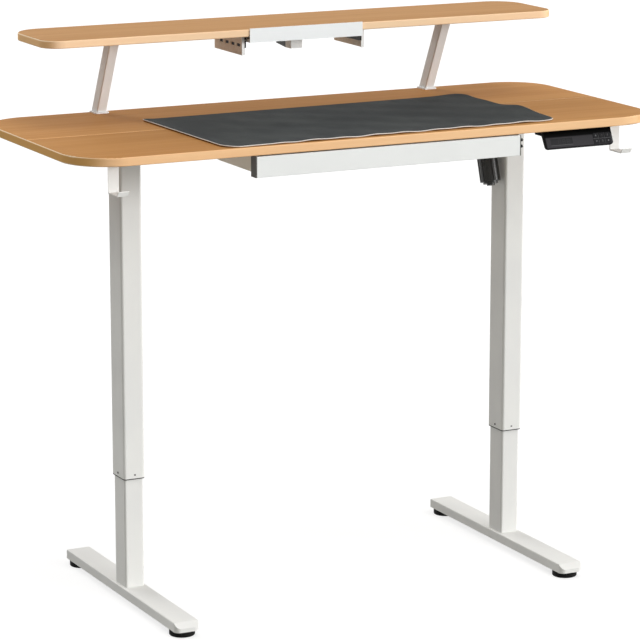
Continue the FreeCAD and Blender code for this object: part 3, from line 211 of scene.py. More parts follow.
def fastener_tree(name, sides):
    """Geometry Nodes for round-headed fasteners at points, facing along "way".

    The recess in the head is a socket with so many sides or, with none, a cross.
    """
    tree = bpy.data.node_groups.new(name, "GeometryNodeTree")
    tree.interface.new_socket("Fasteners", in_out="OUTPUT", socket_type="NodeSocketGeometry")
    tree.interface.new_socket("Places", in_out="INPUT", socket_type="NodeSocketGeometry")
    sizes = ("Head Radius", "Head Height", "Shank Radius", "Shank Length")
    for size in sizes:
        tree.interface.new_socket(size, in_out="INPUT", socket_type="NodeSocketFloat")
    tree.interface.new_socket("Finish", in_out="INPUT", socket_type="NodeSocketMaterial")
    field = Field(tree)

    def given(socket):
        """One of the tree's own inputs."""
        return field.node("NodeGroupInput", out=socket)

    def raised(shape, chosen, height, spread):
        """Draw the chosen end of a solid out by a height, and scale its outline."""
        drawn = field.node("GeometryNodeExtrudeMesh", {"mode": "FACES"}, {
            "Mesh": shape, "Selection": chosen, "Offset Scale": height, "Individual": False})
        end = drawn.also("Top")
        return field.node("GeometryNodeScaleElements", {"domain": "FACE"}, {
            "Geometry": drawn, "Selection": end, "Scale": spread}), end

    head, height, shank, length = [given(size) for size in sizes]
    rod = field.node("GeometryNodeMeshCylinder", {"fill_type": "NGON"}, {
        "Vertices": ROD_SIDES, "Radius": shank, "Depth": length})
    shape, end = raised(rod, rod.also("Top"), 0.0, field.maths("DIVIDE", head, shank))
    for share, spread in HEAD_STEPS:
        shape, end = raised(shape, end, height * share, spread)
    if sides:
        tools = [field.node("GeometryNodeMeshCylinder", {"fill_type": "NGON"}, {
            "Vertices": sides, "Radius": head * SOCKET_RADIUS, "Depth": height * SOCKET_DEPTH})]
    else:
        span, slit = head * CROSS_SPAN, head * CROSS_SLIT
        tools = [field.node("GeometryNodeMeshCube", None, {
            "Size": field.node("ShaderNodeCombineXYZ", None, {
                "X": across, "Y": along, "Z": height * CROSS_DEPTH})})
            for across, along in ((span, slit), (slit, span))]
    crown = length * 0.5 + height
    sunk = field.node("ShaderNodeCombineXYZ", None, {"Z": crown})
    tools = [field.node("GeometryNodeTransform", None, {"Geometry": tool, "Translation": sunk})
             for tool in tools]
    cut = field.node("GeometryNodeMeshBoolean", {"operation": "DIFFERENCE", "solver": "EXACT"}, {
        "Mesh 1": shape, "Mesh 2": tools})
    down = field.node("ShaderNodeCombineXYZ", None, {"Z": -1.0 * crown})
    whole = field.node("GeometryNodeTransform", None, {"Geometry": cut, "Translation": down})
    way = field.node("GeometryNodeInputNamedAttribute", {"data_type": "FLOAT_VECTOR"}, {"Name": "way"})
    upright = field.node("FunctionNodeAlignRotationToVector", {"axis": "Z"}, {"Vector": way})
    turn = field.node("FunctionNodeRandomValue", {"data_type": "FLOAT"}, {
        2: -math.pi, 3: math.pi, "Seed": TURN_SEED}, 1)
    spin = field.node("FunctionNodeEulerToRotation", None, {
        "Euler": field.node("ShaderNodeCombineXYZ", None, {"Z": turn})})
    turned = field.node("FunctionNodeRotateRotation", {"rotation_space": "LOCAL"}, {
        "Rotation": upright, "Rotate By": spin})
    placed = field.node("GeometryNodeInstanceOnPoints", None, {
        "Points": given("Places"), "Instance": whole, "Rotation": turned})
    real = field.node("GeometryNodeRealizeInstances", None, {"Geometry": placed})
    finished = field.node("GeometryNodeSetMaterial", None, {"Geometry": real, "Material": given("Finish")})
    field.node("NodeGroupOutput", None, {"Fasteners": finished})
    return tree


def cad_fasteners(name, axis_x=0.0):
    """Where a node's fasteners are: the middle of each head's outer face, the way it looks, and the length.

    Upright ones look down. The others are taken to lie along the shorter of their two widths, and look
    away from a column that is so far from the desk's middle.
    """
    mesh = bmesh.new()
    mesh.from_mesh(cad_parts[name].data)
    bmesh.ops.remove_doubles(mesh, verts=mesh.verts, dist=1e-6)
    found, seen = [], set()
    for first in mesh.verts:
        if first in seen:
            continue
        island, queue = [], [first]
        seen.add(first)
        while queue:
            corner = queue.pop()
            island.append(corner.co)
            for edge in corner.link_edges:
                other = edge.other_vert(corner)
                if other not in seen:
                    seen.add(other)
                    queue.append(other)
        points = np.array(island)
        low, high = points.min(axis=0), points.max(axis=0)
        size, middle = high - low, (high + low) / 2
        upright = size[2] > 2 * size[0]
        axis = 2 if upright else int(np.argmin(size[:2]))
        from_middle = middle[0] - math.copysign(axis_x, middle[0]) if axis == 0 else middle[1]
        way = np.zeros(3)
        way[axis] = -1.0 if upright or from_middle < 0 else 1.0
        found.append((middle + way * size[axis] / 2, way, float(size[axis])))
    mesh.free()
    return found


def add_object(name, data):
    """A new object in the scene, at the origin."""
    made = bpy.data.objects.new(name, data)
    bpy.context.scene.collection.objects.link(made)
    return made


def plain_mesh(name, modelled):
    """What was modelled, as a mesh that an object can hold."""
    mesh = bpy.data.meshes.new(name)
    modelled.to_mesh(mesh)
    modelled.free()
    return mesh


def drive_in(name, tree, finish, head_radius, head_height, shank_radius, places):
    """One plain mesh of fasteners, made by the tree at the given places."""
    whole = bmesh.new()
    lengths = [round(length, 5) for middle, way, length in places]
    for length in sorted(set(lengths)):
        chosen = [place for place, each in zip(places, lengths) if each == length]
        points = bpy.data.meshes.new(name)
        points.from_pydata([place[0] for place in chosen], [], [])
        ways = points.attributes.new("way", "FLOAT_VECTOR", "POINT")
        ways.data.foreach_set("vector", np.array([place[1] for place in chosen]).ravel())
        holder = add_object(name, points)
        maker = holder.modifiers.new("fasteners", "NODES")
        maker.node_group = tree
        values = {"Head Radius": head_radius, "Head Height": head_height, "Shank Radius": shank_radius,
                  "Shank Length": length - head_height, "Finish": finish}
        for socket in tree.interface.items_tree:
            if socket.in_out == "INPUT" and socket.name in values:
                maker[socket.identifier] = values[socket.name]
        bpy.context.view_layer.update()
        made = bpy.data.meshes.new_from_object(holder.evaluated_get(bpy.context.evaluated_depsgraph_get()))
        whole.from_mesh(made)
        holder.modifiers.remove(maker)
        bpy.data.objects.remove(holder)
        bpy.data.meshes.remove(made)
    mesh = plain_mesh(name, whole)
    mesh.materials.append(finish)
    return add_object(name, mesh)


BOLT_HEAD_RADIUS = 0.0055
BOLT_HEAD = 0.0035
BOLT_RADIUS = 0.003
socket_bolts = fastener_tree("socket_bolts", sides=6)
for side in ("left", "right"):
    bolts = drive_in(side + "_foot_bolt_set", socket_bolts, zinc, BOLT_HEAD_RADIUS, BOLT_HEAD, BOLT_RADIUS,
                     cad_fasteners(side + "_foot_bolts"))
    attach(bolts, side + "_leg")
    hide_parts(side + "_foot_bolts")


# Lifting columns: two rectangular steel tubes that slide in each other, the wider one above.
# Plastic sleeves at the mouth and inside keep them apart; small screws hold the lower sleeve.

dress(white_coat, "left_lower_tube", "right_lower_tube", "left_upper_tube", "right_upper_tube")
sleeve_plastic = moulded("sleeve_plastic", colour(196, 196, 193), colour(186, 186, 183),
                         rough=0.5, grain=1100.0, depth=0.00008)
dress(sleeve_plastic, "left_upper_glide", "right_upper_glide")
rim_plastic = moulded("sleeve_rim_plastic", colour(22, 22, 22), colour(28, 28, 28),
                      rough=0.55, grain=1100.0, depth=0.00008, shine=0.15)
dress(rim_plastic, "lower_glides")
COLUMN_X = 0.476
GLIDE_SCREW_HEAD_RADIUS = 0.0024
GLIDE_SCREW_HEAD = 0.0012
GLIDE_SCREW_RADIUS = 0.0015
black_zinc = moulded("blackened_screws", colour(16, 16, 16), colour(22, 22, 22),
                     rough=0.5, grain=600.0, depth=0.00004, shine=0.15)
cross_screws = fastener_tree("cross_screws", sides=0)
sleeve_screws = drive_in("sleeve_screw_set", cross_screws, black_zinc, GLIDE_SCREW_HEAD_RADIUS,
                         GLIDE_SCREW_HEAD, GLIDE_SCREW_RADIUS, cad_fasteners("glide_screws", COLUMN_X))
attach(sleeve_screws, "top")
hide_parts("glide_screws")


# Lifting drive: a motor turns a worm and wheel on a hexagonal rod; bevel gears at its ends turn
# the lead screws, which run in nuts fixed in the lower tubes, so both columns rise together.

nut_brass = plated("nut_brass", colour(204, 168, 98), colour(183, 148, 82), rough=0.32, patches=120.0)
dress(nut_brass, "left_lift_nut", "right_lift_nut")
gear_steel = plated("gear_steel", colour(150, 150, 148), colour(122, 122, 121), rough=0.3, patches=240.0)
dress(gear_steel, "left_screw_gear", "right_screw_gear", "rod_gears", "worm_wheel", "motor_worm",
      "left_lead_screw", "right_lead_screw", "drive_rod")
cast_zinc = plated("cast_zinc", colour(158, 159, 158), colour(136, 137, 137), rough=0.52, patches=420.0)
dress(cast_zinc, "gear_castings", "motor_can")
motor_plastic = moulded("motor_plastic", colour(38, 38, 37), colour(44, 44, 43),
                        rough=0.3, grain=1300.0, depth=0.00006, shine=0.45)
dress(motor_plastic, "motor_gear_case", "motor_cover")


# Frame under the desktop: flat brackets across the column heads and two rectangular rails
# between them, bolted up from below; small plates bridge the joint of the two boards.

dress(white_coat, "side_brackets", "cross_rails", "joint_plates")
head_bolts = drive_in("frame_bolt_set", socket_bolts, zinc, BOLT_HEAD_RADIUS, BOLT_HEAD, BOLT_RADIUS,
                      cad_fasteners("frame_bolts"))
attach(head_bolts, "top")
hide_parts("frame_bolts")


# Control box: the case of the electronics, moulded in black plastic and screwed behind the rear
# rail, with inlets in its rear face.

black_plastic = moulded("black_plastic", colour(52, 52, 51), colour(60, 60, 59),
                        rough=0.45, grain=1300.0, depth=0.00008, shine=0.15)
dress(black_plastic, "control_box")


# Handset: a thin black moulding under the front edge, with a smoked display and six keys in wells in
# its sloping face. The face is satin, the strip along its top is deep black, and the marks are printed;
# a grey line along the lower edge of the display window is a painted highlight.

HANDSET_LEFT = 0.400
FACE_LOW = (-0.300, 0.988)
FACE_TILT = math.radians(25.0)
STRIP_FROM = 0.0255
STRIP_FADE = 0.002
RIM_LOW_FADE = (0.001, 0.0032)
RIM_LEFT_FADE = (0.0015, 0.004)
KEY_PROUD = 0.0009
PRINT_THICK = 0.00006
PRINT_SUNK = 0.0001


def up_the_face(y, z):
    """How far up the handset's sloping face a place is, for numbers or for Fields."""
    return (y - FACE_LOW[0]) * math.sin(FACE_TILT) + (z - FACE_LOW[1]) * math.cos(FACE_TILT)


def handset_face():
    """Satin black with a darker rounded rim, and a deep black strip along the top of the face."""
    material, field = new_finish("handset_plastic", Specular_IOR_Level=0.03)
    place = field.place()
    height = up_the_face(place.part("Y"), place.part("Z"))
    speck = place.noise(1300.0, 3.0, 0.6)
    satin = speck.ease(0.3, 0.75).blend(colour(61, 60, 63), colour(66, 65, 68))
    strip = height.ease(STRIP_FROM - STRIP_FADE, STRIP_FROM + STRIP_FADE)
    rim = field.maths("MAXIMUM", height.ease(*RIM_LOW_FADE, 1.0, 0.0),
                      (place.part("X") - HANDSET_LEFT).ease(*RIM_LEFT_FADE, 1.0, 0.0))
    strip.blend(rim.blend(satin, colour(17, 17, 18)), colour(4, 4, 4)).feed("Base Color")
    strip.ease(0.0, 1.0, 0.5, 0.32).feed("Roughness")
    speck.relief(0.00008, 0.4).feed("Normal")
    return material


dress(handset_face(), "handset_case")
window_gloss = moulded("smoked_window", colour(44, 44, 46), colour(47, 47, 49),
                       rough=0.3, grain=300.0, depth=0.00001, shine=0.08)
dress(window_gloss, "handset_window")
key_plastic = moulded("key_plastic", colour(34, 34, 36), colour(39, 39, 41),
                      rough=0.5, grain=1500.0, depth=0.00008, shine=0.08)
KEYS = ("up", "one", "two", "down", "three", "memory")
dress(key_plastic, *["key_" + key for key in KEYS])
print_white = moulded("printed_marks", colour(112, 112, 114), colour(105, 105, 107),
                      rough=0.6, grain=900.0, depth=0.00001, shine=0.1)
print_grey = moulded("printed_lines", colour(95, 95, 97), colour(88, 88, 90),
                     rough=0.6, grain=900.0, depth=0.00001, shine=0.1)


def on_face(across, up, off):
    """A point of the handset's face, from its lower left corner."""
    return Vector((HANDSET_LEFT + across,
                   FACE_LOW[0] + up * math.sin(FACE_TILT) - off * math.cos(FACE_TILT),
                   FACE_LOW[1] + up * math.cos(FACE_TILT) + off * math.sin(FACE_TILT)))


def printed(name, outlines, off, body, finish):
    """Flat marks with a little thickness on the handset's face, from closed outlines in its plane."""
    mesh = bmesh.new()
    for outline in outlines:
        under, face = [[mesh.verts.new(on_face(across, up, off + lift)) for across, up in outline]
                       for lift in (-PRINT_SUNK, PRINT_THICK)]
        mesh.faces.new(under[::-1])
        mesh.faces.new(face)
        for k in range(len(outline)):
            n = (k + 1) % len(outline)
            mesh.faces.new((under[k], under[n], face[n], face[k]))
    data = plain_mesh(name, mesh)
    data.materials.append(finish)
    piece = add_object(name, data)
    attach(piece, body)


def bar(left, low, right, high):
    """The outline of an upright rectangle."""
    return [(left, low), (right, low), (right, high), (left, high)]


def segments(left, low, wide, tall, thick, shown):
    """Bars of a digit of seven, from the ones that are shown: top, middle, bottom, then the uprights."""
    half = low + tall / 2
    right, high = left + wide, low + tall
    bars = {"t": bar(left + thick, high - thick, right - thick, high),
            "m": bar(left + thick, half - thick / 2, right - thick, half + thick / 2),
            "b": bar(left + thick, low, right - thick, low + thick),
            "l": bar(left, half + thick / 2, left + thick, high - thick / 2),
            "r": bar(right - thick, half + thick / 2, right, high - thick / 2),
            "L": bar(left, low + thick / 2, left + thick, half - thick / 2),
            "R": bar(right - thick, low + thick / 2, right, half - thick / 2)}
    return [bars[each] for each in shown]


def key_middle(key):
    """Where the middle of a key is on the handset's face."""
    low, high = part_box("key_" + key)
    middle = [(a + b) / 2 for a, b in zip(low, high)]
    return middle[0] - HANDSET_LEFT, up_the_face(middle[1], middle[2])


ARROW = 0.0022
ARROW_FOOT = 0.00154
DOT_RADIUS = 0.00176
DOT_SIDES = 16
DIGIT_WIDE, DIGIT_TALL, DIGIT_THICK = 0.0026, 0.0048, 0.0006
for key in KEYS:
    across, up = key_middle(key)
    if key == "up":
        shapes = [[(across - ARROW, up - ARROW_FOOT), (across + ARROW, up - ARROW_FOOT),
                   (across, up + ARROW)]]
    elif key == "down":
        shapes = [[(across, up - ARROW), (across + ARROW, up + ARROW_FOOT),
                   (across - ARROW, up + ARROW_FOOT)]]
    elif key == "memory":
        steps = [2 * math.pi * k / DOT_SIDES for k in range(DOT_SIDES)]
        shapes = [[(across + DOT_RADIUS * math.cos(a), up + DOT_RADIUS * math.sin(a)) for a in steps]]
    else:
        shown = {"one": "rR", "two": "trmLb", "three": "trmRb"}[key]
        shapes = segments(across - DIGIT_WIDE / 2, up - DIGIT_TALL / 2, DIGIT_WIDE, DIGIT_TALL,
                          DIGIT_THICK, shown)
    printed("mark_" + key, shapes, KEY_PROUD, "key_" + key, print_white)

WINDOW_DIGITS = 3
BARS_FROM, BARS_LOW, BARS_PITCH = 0.019, 0.0090, 0.0110
BARS_WIDE, BARS_TALL, BARS_THICK = 0.0070, 0.0110, 0.0011
WINDOW_HIGHLIGHT_LOW, WINDOW_HIGHLIGHT_HIGH = 0.0068, 0.0078
window_left, window_right = [corner[0] - HANDSET_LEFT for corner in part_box("handset_window")]
digits = []
for count in range(WINDOW_DIGITS):
    digits += segments(window_left + BARS_FROM + count * BARS_PITCH, BARS_LOW, BARS_WIDE, BARS_TALL,
                       BARS_THICK, "tmblrLR")
unlit_bars = moulded("unlit_bars", colour(57, 57, 59), colour(54, 54, 56),
                     rough=0.5, grain=900.0, depth=0.00001, shine=0.08)
printed("display_bars", digits, 0.0, "top", unlit_bars)
# A painted highlight along the lower edge of the display window, drawn as a thin grey strip.
window_edge_highlight = bar(window_left, WINDOW_HIGHLIGHT_LOW, window_right, WINDOW_HIGHLIGHT_HIGH)
printed("window_edge_highlight", [window_edge_highlight], 0.0, "top", print_grey)

LINE_THICK = 0.0007
LINE_PAST_KEYS = 0.006
DASH_HALF = 0.0064
columns = sorted({round(key_middle(key)[0], 4) for key in KEYS})
rows = sorted({round(key_middle(key)[1], 4) for key in KEYS})
lines = [bar((a + b - LINE_THICK) / 2, rows[0] - LINE_PAST_KEYS,
             (a + b + LINE_THICK) / 2, rows[-1] + LINE_PAST_KEYS) for a, b in zip(columns, columns[1:])]
level = sum(rows) / len(rows)
lines += [bar(a - DASH_HALF, level - LINE_THICK / 2, a + DASH_HALF, level + LINE_THICK / 2) for a in columns]
printed("key_lines", lines, 0.0, "top", print_grey)


# Desktop and shelf: chipboard faced with a printed oak laminate, the grain along the length.
# The rims carry a paler edge band, and the desktop is two boards butted along the middle.

JOINT_EDGE = 0.0011
JOINT_CORE, JOINT_FADE = 0.0007, 0.0015
LIT_FROM, LIT_TO = -0.3, 0.4
# Painted highlight on one edge of the joint, fading to painted shade towards the right; the other edge is a
# dark line.
JOINT_PAINTED_HIGHLIGHT, JOINT_PAINTED_SHADE, JOINT_SHUT = colour(210, 160, 104), colour(118, 78, 40), colour(140, 98, 54)
# Painted highlight on the rounded arrises at the ends of the boards.
ARRIS_PAINTED_HIGHLIGHT = colour(255, 236, 205)


def laminate(name, light, dark, band_light, band_dark, end_face_painted_shade, joint):
    """Printed oak laminate with streaks along X, and a paler band on the rims, with painted shade on the end
    faces and a painted highlight on their rounded arrises.

    At the joint of the boards, one edge has a painted highlight on the left that turns to painted shade
    towards the right, and the other is a dark line.
    """
    material, field = new_finish(name, Specular_IOR_Level=0.04)
    place = field.place()
    broad = place.noise(1.0, 3.0, 0.55, (0.9, 8.0, 8.0))
    streak = place.noise(1.0, 5.0, 0.6, (2.6, 95.0, 95.0))
    fibre = place.noise(1.0, 3.0, 0.7, (16.0, 620.0, 620.0))
    figure = broad * 0.45 + streak * 0.38 + fibre * 0.17
    tone = figure.ease(0.36, 0.66)
    normal = field.node("ShaderNodeNewGeometry", out="Normal")
    rim = abs(normal.part("Z")).ease(0.80, 0.97, 1.0, 0.0)
    face = tone.blend(dark, light)
    if joint:
        across = place.part("Y")
        lit = abs(across - JOINT_EDGE).ease(JOINT_CORE, JOINT_FADE, 1.0, 0.0)
        shut = abs(across + JOINT_EDGE).ease(JOINT_CORE, JOINT_FADE, 1.0, 0.0)
        # Painted highlight along one edge of the joint, turning to painted shade towards the right.
        painted_joint_light = place.part("X").ease(LIT_FROM, LIT_TO).blend(JOINT_PAINTED_HIGHLIGHT, JOINT_PAINTED_SHADE)
        face = shut.blend(lit.blend(face, painted_joint_light), JOINT_SHUT)
    flat = abs(normal.part("Z")).ease(0.15, 0.5, 1.0, 0.0)
    end = abs(normal.part("X")).ease(0.3, 0.85)
    # On the end faces the band takes a darker, deeper colour: painted shade.
    band = (flat * end).blend(tone.blend(band_dark, band_light), end_face_painted_shade)
    # Where the rounded arris meets an end face it gets the painted highlight.
    rim.blend(face, ((1.0 - flat) * end).blend(band, ARRIS_PAINTED_HIGHLIGHT)).feed("Base Color")
    fibre.ease(0.3, 0.7, 0.54, 0.64).feed("Roughness")
    (streak * 0.4 + fibre * 0.6).relief(0.00012, 0.3).feed("Normal")
    return material


# Band tones: light, dark, and the painted shade on the end faces.
DESK_BAND = colour(250, 206, 158), colour(242, 195, 147), colour(228, 176, 108)
SHELF_BAND = colour(255, 225, 186), colour(254, 216, 176), colour(252, 205, 150)
front_oak = laminate("oak_front", colour(191, 141, 86), colour(177, 125, 71), *DESK_BAND, joint=True)
dress(front_oak, "front_board")
# The rear board's laminate is a lighter copy of the front's: painted light that makes up for the shade under
# the shelf.
rear_oak_painted_light = laminate("oak_rear_painted_light", colour(198, 147, 91), colour(184, 131, 76), *DESK_BAND, joint=True)
dress(rear_oak_painted_light, "rear_board")
shelf_oak = laminate("oak_shelf", colour(192, 147, 100), colour(180, 134, 86), *SHELF_BAND, joint=False)
dress(shelf_oak, "shelf_board")


# Drawer: an aluminium front profile with plastic end caps on a folded sheet tray, which slides on
# plastic strips along two folded runners screwed under the desktop. Screws hold the right-hand cap.

white_profile = powder_coat("white_profile", colour(238, 240, 239), colour(235, 237, 236),
                            rough=0.4, peel=1200.0)
dress(white_profile, "drawer_front")
# The tray and runners have a warmer, lighter copy of the white coat: painted warm bounce light from the
# boards that lightens their shaded sides.
tray_coat_painted_bounce = powder_coat("drawer_powder_coat_painted_bounce", colour(255, 252, 240), colour(253, 249, 236),
                        rough=0.44, peel=700.0)
dress(tray_coat_painted_bounce, "drawer_tray", "drawer_runners")
dress(sleeve_plastic, "runner_glides")
cap_plastic = moulded("cap_plastic", colour(88, 85, 81), colour(82, 79, 76),
                      rough=0.5, grain=1100.0, depth=0.00008)
dress(cap_plastic, "drawer_end_caps")
CAP_SCREW_HEAD_RADIUS = 0.0036
CAP_SCREW_HEAD = 0.005
CAP_SCREW_LENGTH = 0.012
CAP_SCREW_BACK = 0.0032
CAP_SCREW_DROPS = (0.0108, 0.0247)
cap_low, cap_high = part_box("drawer_end_caps")
cap_places = [(np.array((cap_high[0] + CAP_SCREW_HEAD, cap_low[1] + CAP_SCREW_BACK, cap_high[2] - drop)),
               np.array((1.0, 0.0, 0.0)), CAP_SCREW_LENGTH) for drop in CAP_SCREW_DROPS]
cap_screws = drive_in("cap_screw_set", cross_screws, black_zinc, CAP_SCREW_HEAD_RADIUS, CAP_SCREW_HEAD,
                      GLIDE_SCREW_RADIUS, cap_places)
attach(cap_screws, "drawer")


# Hooks: strips of steel bent into a plate, an arm and a lip, and powder-coated white. One is
# screwed up under the front edge at each end of the desktop.

# The hooks have a brighter copy of the white coat: painted light that makes up for the shade under the
# desktop.
hook_coat_painted_light = powder_coat("hook_powder_coat_painted_light", colour(253, 253, 251), colour(250, 250, 248),
                        rough=0.42, peel=900.0)
dress(hook_coat_painted_light, "hooks")


# Shelf: leaning rectangular posts with welded end plates carry it, bolted through the desktop.
# A shallow tray hangs under its middle on slotted slides, with a panel in front and a finger pull.

# The posts and the panel have a brighter, bluer copy of the white coat: painted light that makes up for the
# shade under the shelf and cancels the warm bounce from the wood.
post_coat_painted_light = powder_coat("post_powder_coat_painted_light", colour(251, 254, 255), colour(248, 251, 252),
                        rough=0.46, peel=700.0)
dress(post_coat_painted_light, "shelf_posts", "tray_panel")
dress(white_coat, "shelf_tray")
NOSE_DEPTH = 0.0022
PAINT_FADE = 0.0004
nose_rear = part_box("tray_hangers")[0][1] + NOSE_DEPTH


def hanger_finish():
    """Pale zinc-plated sheet tinted warm with painted bounce light from the wood, its folded front end
    painted white like the panel.
    """
    material, field = new_finish("hanger_sheet", Specular_IOR_Level=0.25)
    place = field.place()
    spangle = place.noise(220.0, 4.0, 0.65)
    # The sheet's warm tint is painted bounce light from the wood.
    film = spangle.ease(0.3, 0.7).blend(colour(255, 243, 224), colour(244, 226, 203))
    painted = place.part("Y").ease(nose_rear - PAINT_FADE, nose_rear + PAINT_FADE, 1.0, 0.0)
    painted.blend(film, colour(248, 247, 245)).feed("Base Color")
    spangle.ease(0.2, 0.8, 0.42, 0.58).feed("Roughness")
    spangle.relief(0.0001, 0.3).feed("Normal")
    return material


dress(hanger_finish(), "tray_hangers")
slide_steel = plated("slide_steel", colour(56, 55, 53), colour(46, 46, 45), rough=0.5, patches=300.0)
dress(slide_steel, "tray_slides")
PULL_WHITE_DEPTH = 0.026
PULL_FADE = 0.0003
pull_white_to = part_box("tray_pull")[0][1] + PULL_WHITE_DEPTH


def pull_finish():
    """White moulding in front, and its cheeks behind it in dark grey."""
    material, field = new_finish("pull_plastic", Specular_IOR_Level=0.3)
    place = field.place()
    speck = place.noise(1100.0, 3.0, 0.6)
    white = speck.ease(0.3, 0.75).blend(colour(252, 252, 250), colour(248, 248, 246))
    dark = place.part("Y").ease(pull_white_to - PULL_FADE, pull_white_to + PULL_FADE)
    dark.blend(white, colour(50, 49, 45)).feed("Base Color")
    speck.ease(0.2, 0.8, 0.4, 0.46).feed("Roughness")
    speck.relief(0.00006, 0.4).feed("Normal")
    return material


dress(pull_finish(), "tray_pull")


# Wood screws: flat-bottomed pan heads with a cross, zinc plated, driven up into the boards through
# the brackets, plates, runners, hooks and hangers.

WOOD_SCREW_HEAD_RADIUS = 0.0036
WOOD_SCREW_HEAD = 0.0022
WOOD_SCREW_RADIUS = 0.00175
board_screws = drive_in("wood_screw_set", cross_screws, zinc, WOOD_SCREW_HEAD_RADIUS, WOOD_SCREW_HEAD,
                        WOOD_SCREW_RADIUS, cad_fasteners("wood_screws"))
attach(board_screws, "top")
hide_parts("wood_screws")


# Desk mat: a thin coated cloth with a pale backing that shows at its cut edge, laid on the boards.
# It has kept a wave at its right-hand end from being rolled up, and its left edge is lifted. Ripples
# run in from the front edge, and low buckles cross the middle.

MAT_LENGTH = 0.815
MAT_DEPTH = 0.426
MAT_THICK = 0.0024
MAT_CORNER = 0.036
REAR_LEFT_CORNER = 0.014
MAT_TURN = math.radians(1.2)
MAT_GAP = 0.00005
MAT_RIM = 0.0022
RIM_BULGE = 0.0003
RIM_STEPS = 7
MAT_COLUMNS = 170
MAT_ROWS = 96
CLOTH, BACKING = 0, 1
LEFT_CURL, FRONT_CURL, CURL_REACH = 0.0021, 0.00042, 0.02
WAVE_HEIGHT, WAVE_Y, WAVE_HALF, WAVE_REACH = 0.0085, -0.060, 0.065, 0.14
CORNER_LIFT, CORNER_REACH = 0.0035, 0.055
RIPPLE_HEIGHT, RIPPLE_PITCH, RIPPLE_CREST = 0.0013, 0.0745, -0.202
RIPPLE_REACH, RIPPLE_FROM, RIPPLE_RISE, RIPPLE_END = 0.035, 0.06, 0.09, 0.05
BUCKLE_HEIGHT, BUCKLE_PITCH, BUCKLE_SLANT = 0.0006, 0.13, 0.8
BUCKLE_FROM_LEFT, BUCKLE_FROM_REAR = 0.2, 0.08
desk_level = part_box("front_board")[1][2]
mat_centre = [(low + high) / 2 for low, high in zip(*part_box("desk_mat"))]


def step(value):
    """A smooth rise from 0 to 1."""
    value = min(1.0, max(0.0, value))
    return value * value * (3 - 2 * value)


def mat_lift(x, y):
    """How far the mat stands off the boards, at a place from its own middle."""
    to_front, to_rear = y + MAT_DEPTH / 2, MAT_DEPTH / 2 - y
    to_left, to_right = x + MAT_LENGTH / 2, MAT_LENGTH / 2 - x
    edges = LEFT_CURL * math.exp(-(to_left / CURL_REACH) ** 2)
    edges += FRONT_CURL * math.exp(-(to_front / CURL_REACH) ** 2)
    wave = WAVE_HEIGHT * math.exp(-((y - WAVE_Y) / WAVE_HALF) ** 2) * step(1 - to_right / WAVE_REACH)
    corner = CORNER_LIFT * math.exp(-(to_right ** 2 + to_rear ** 2) / CORNER_REACH ** 2)
    ripple = RIPPLE_HEIGHT * (0.5 + 0.5 * math.cos(2 * math.pi * (x - RIPPLE_CREST) / RIPPLE_PITCH))
    ripple *= math.exp(-to_front / RIPPLE_REACH)
    ripple *= step((to_left - RIPPLE_FROM) / RIPPLE_RISE) * step(to_right / RIPPLE_END)
    buckle = BUCKLE_HEIGHT * (1 + math.sin(2 * math.pi * (x * BUCKLE_SLANT + y) / BUCKLE_PITCH))
    buckle *= step(to_left / BUCKLE_FROM_LEFT) * step(to_rear / BUCKLE_FROM_REAR)
    return edges + wave + corner + ripple + buckle


def mat_outline(across, along, inset):
    """A place in the mat's own plane, with across and along from -1 to 1, so far inside its cut edge."""
    corner = (REAR_LEFT_CORNER if across < 0 and along > 0 else MAT_CORNER) - inset
    y = along * (MAT_DEPTH / 2 - inset)
    into = max(0.0, abs(y) - (MAT_DEPTH / 2 - inset - corner))
    return across * (MAT_LENGTH / 2 - inset - corner + math.sqrt(max(0.0, corner ** 2 - into ** 2))), y


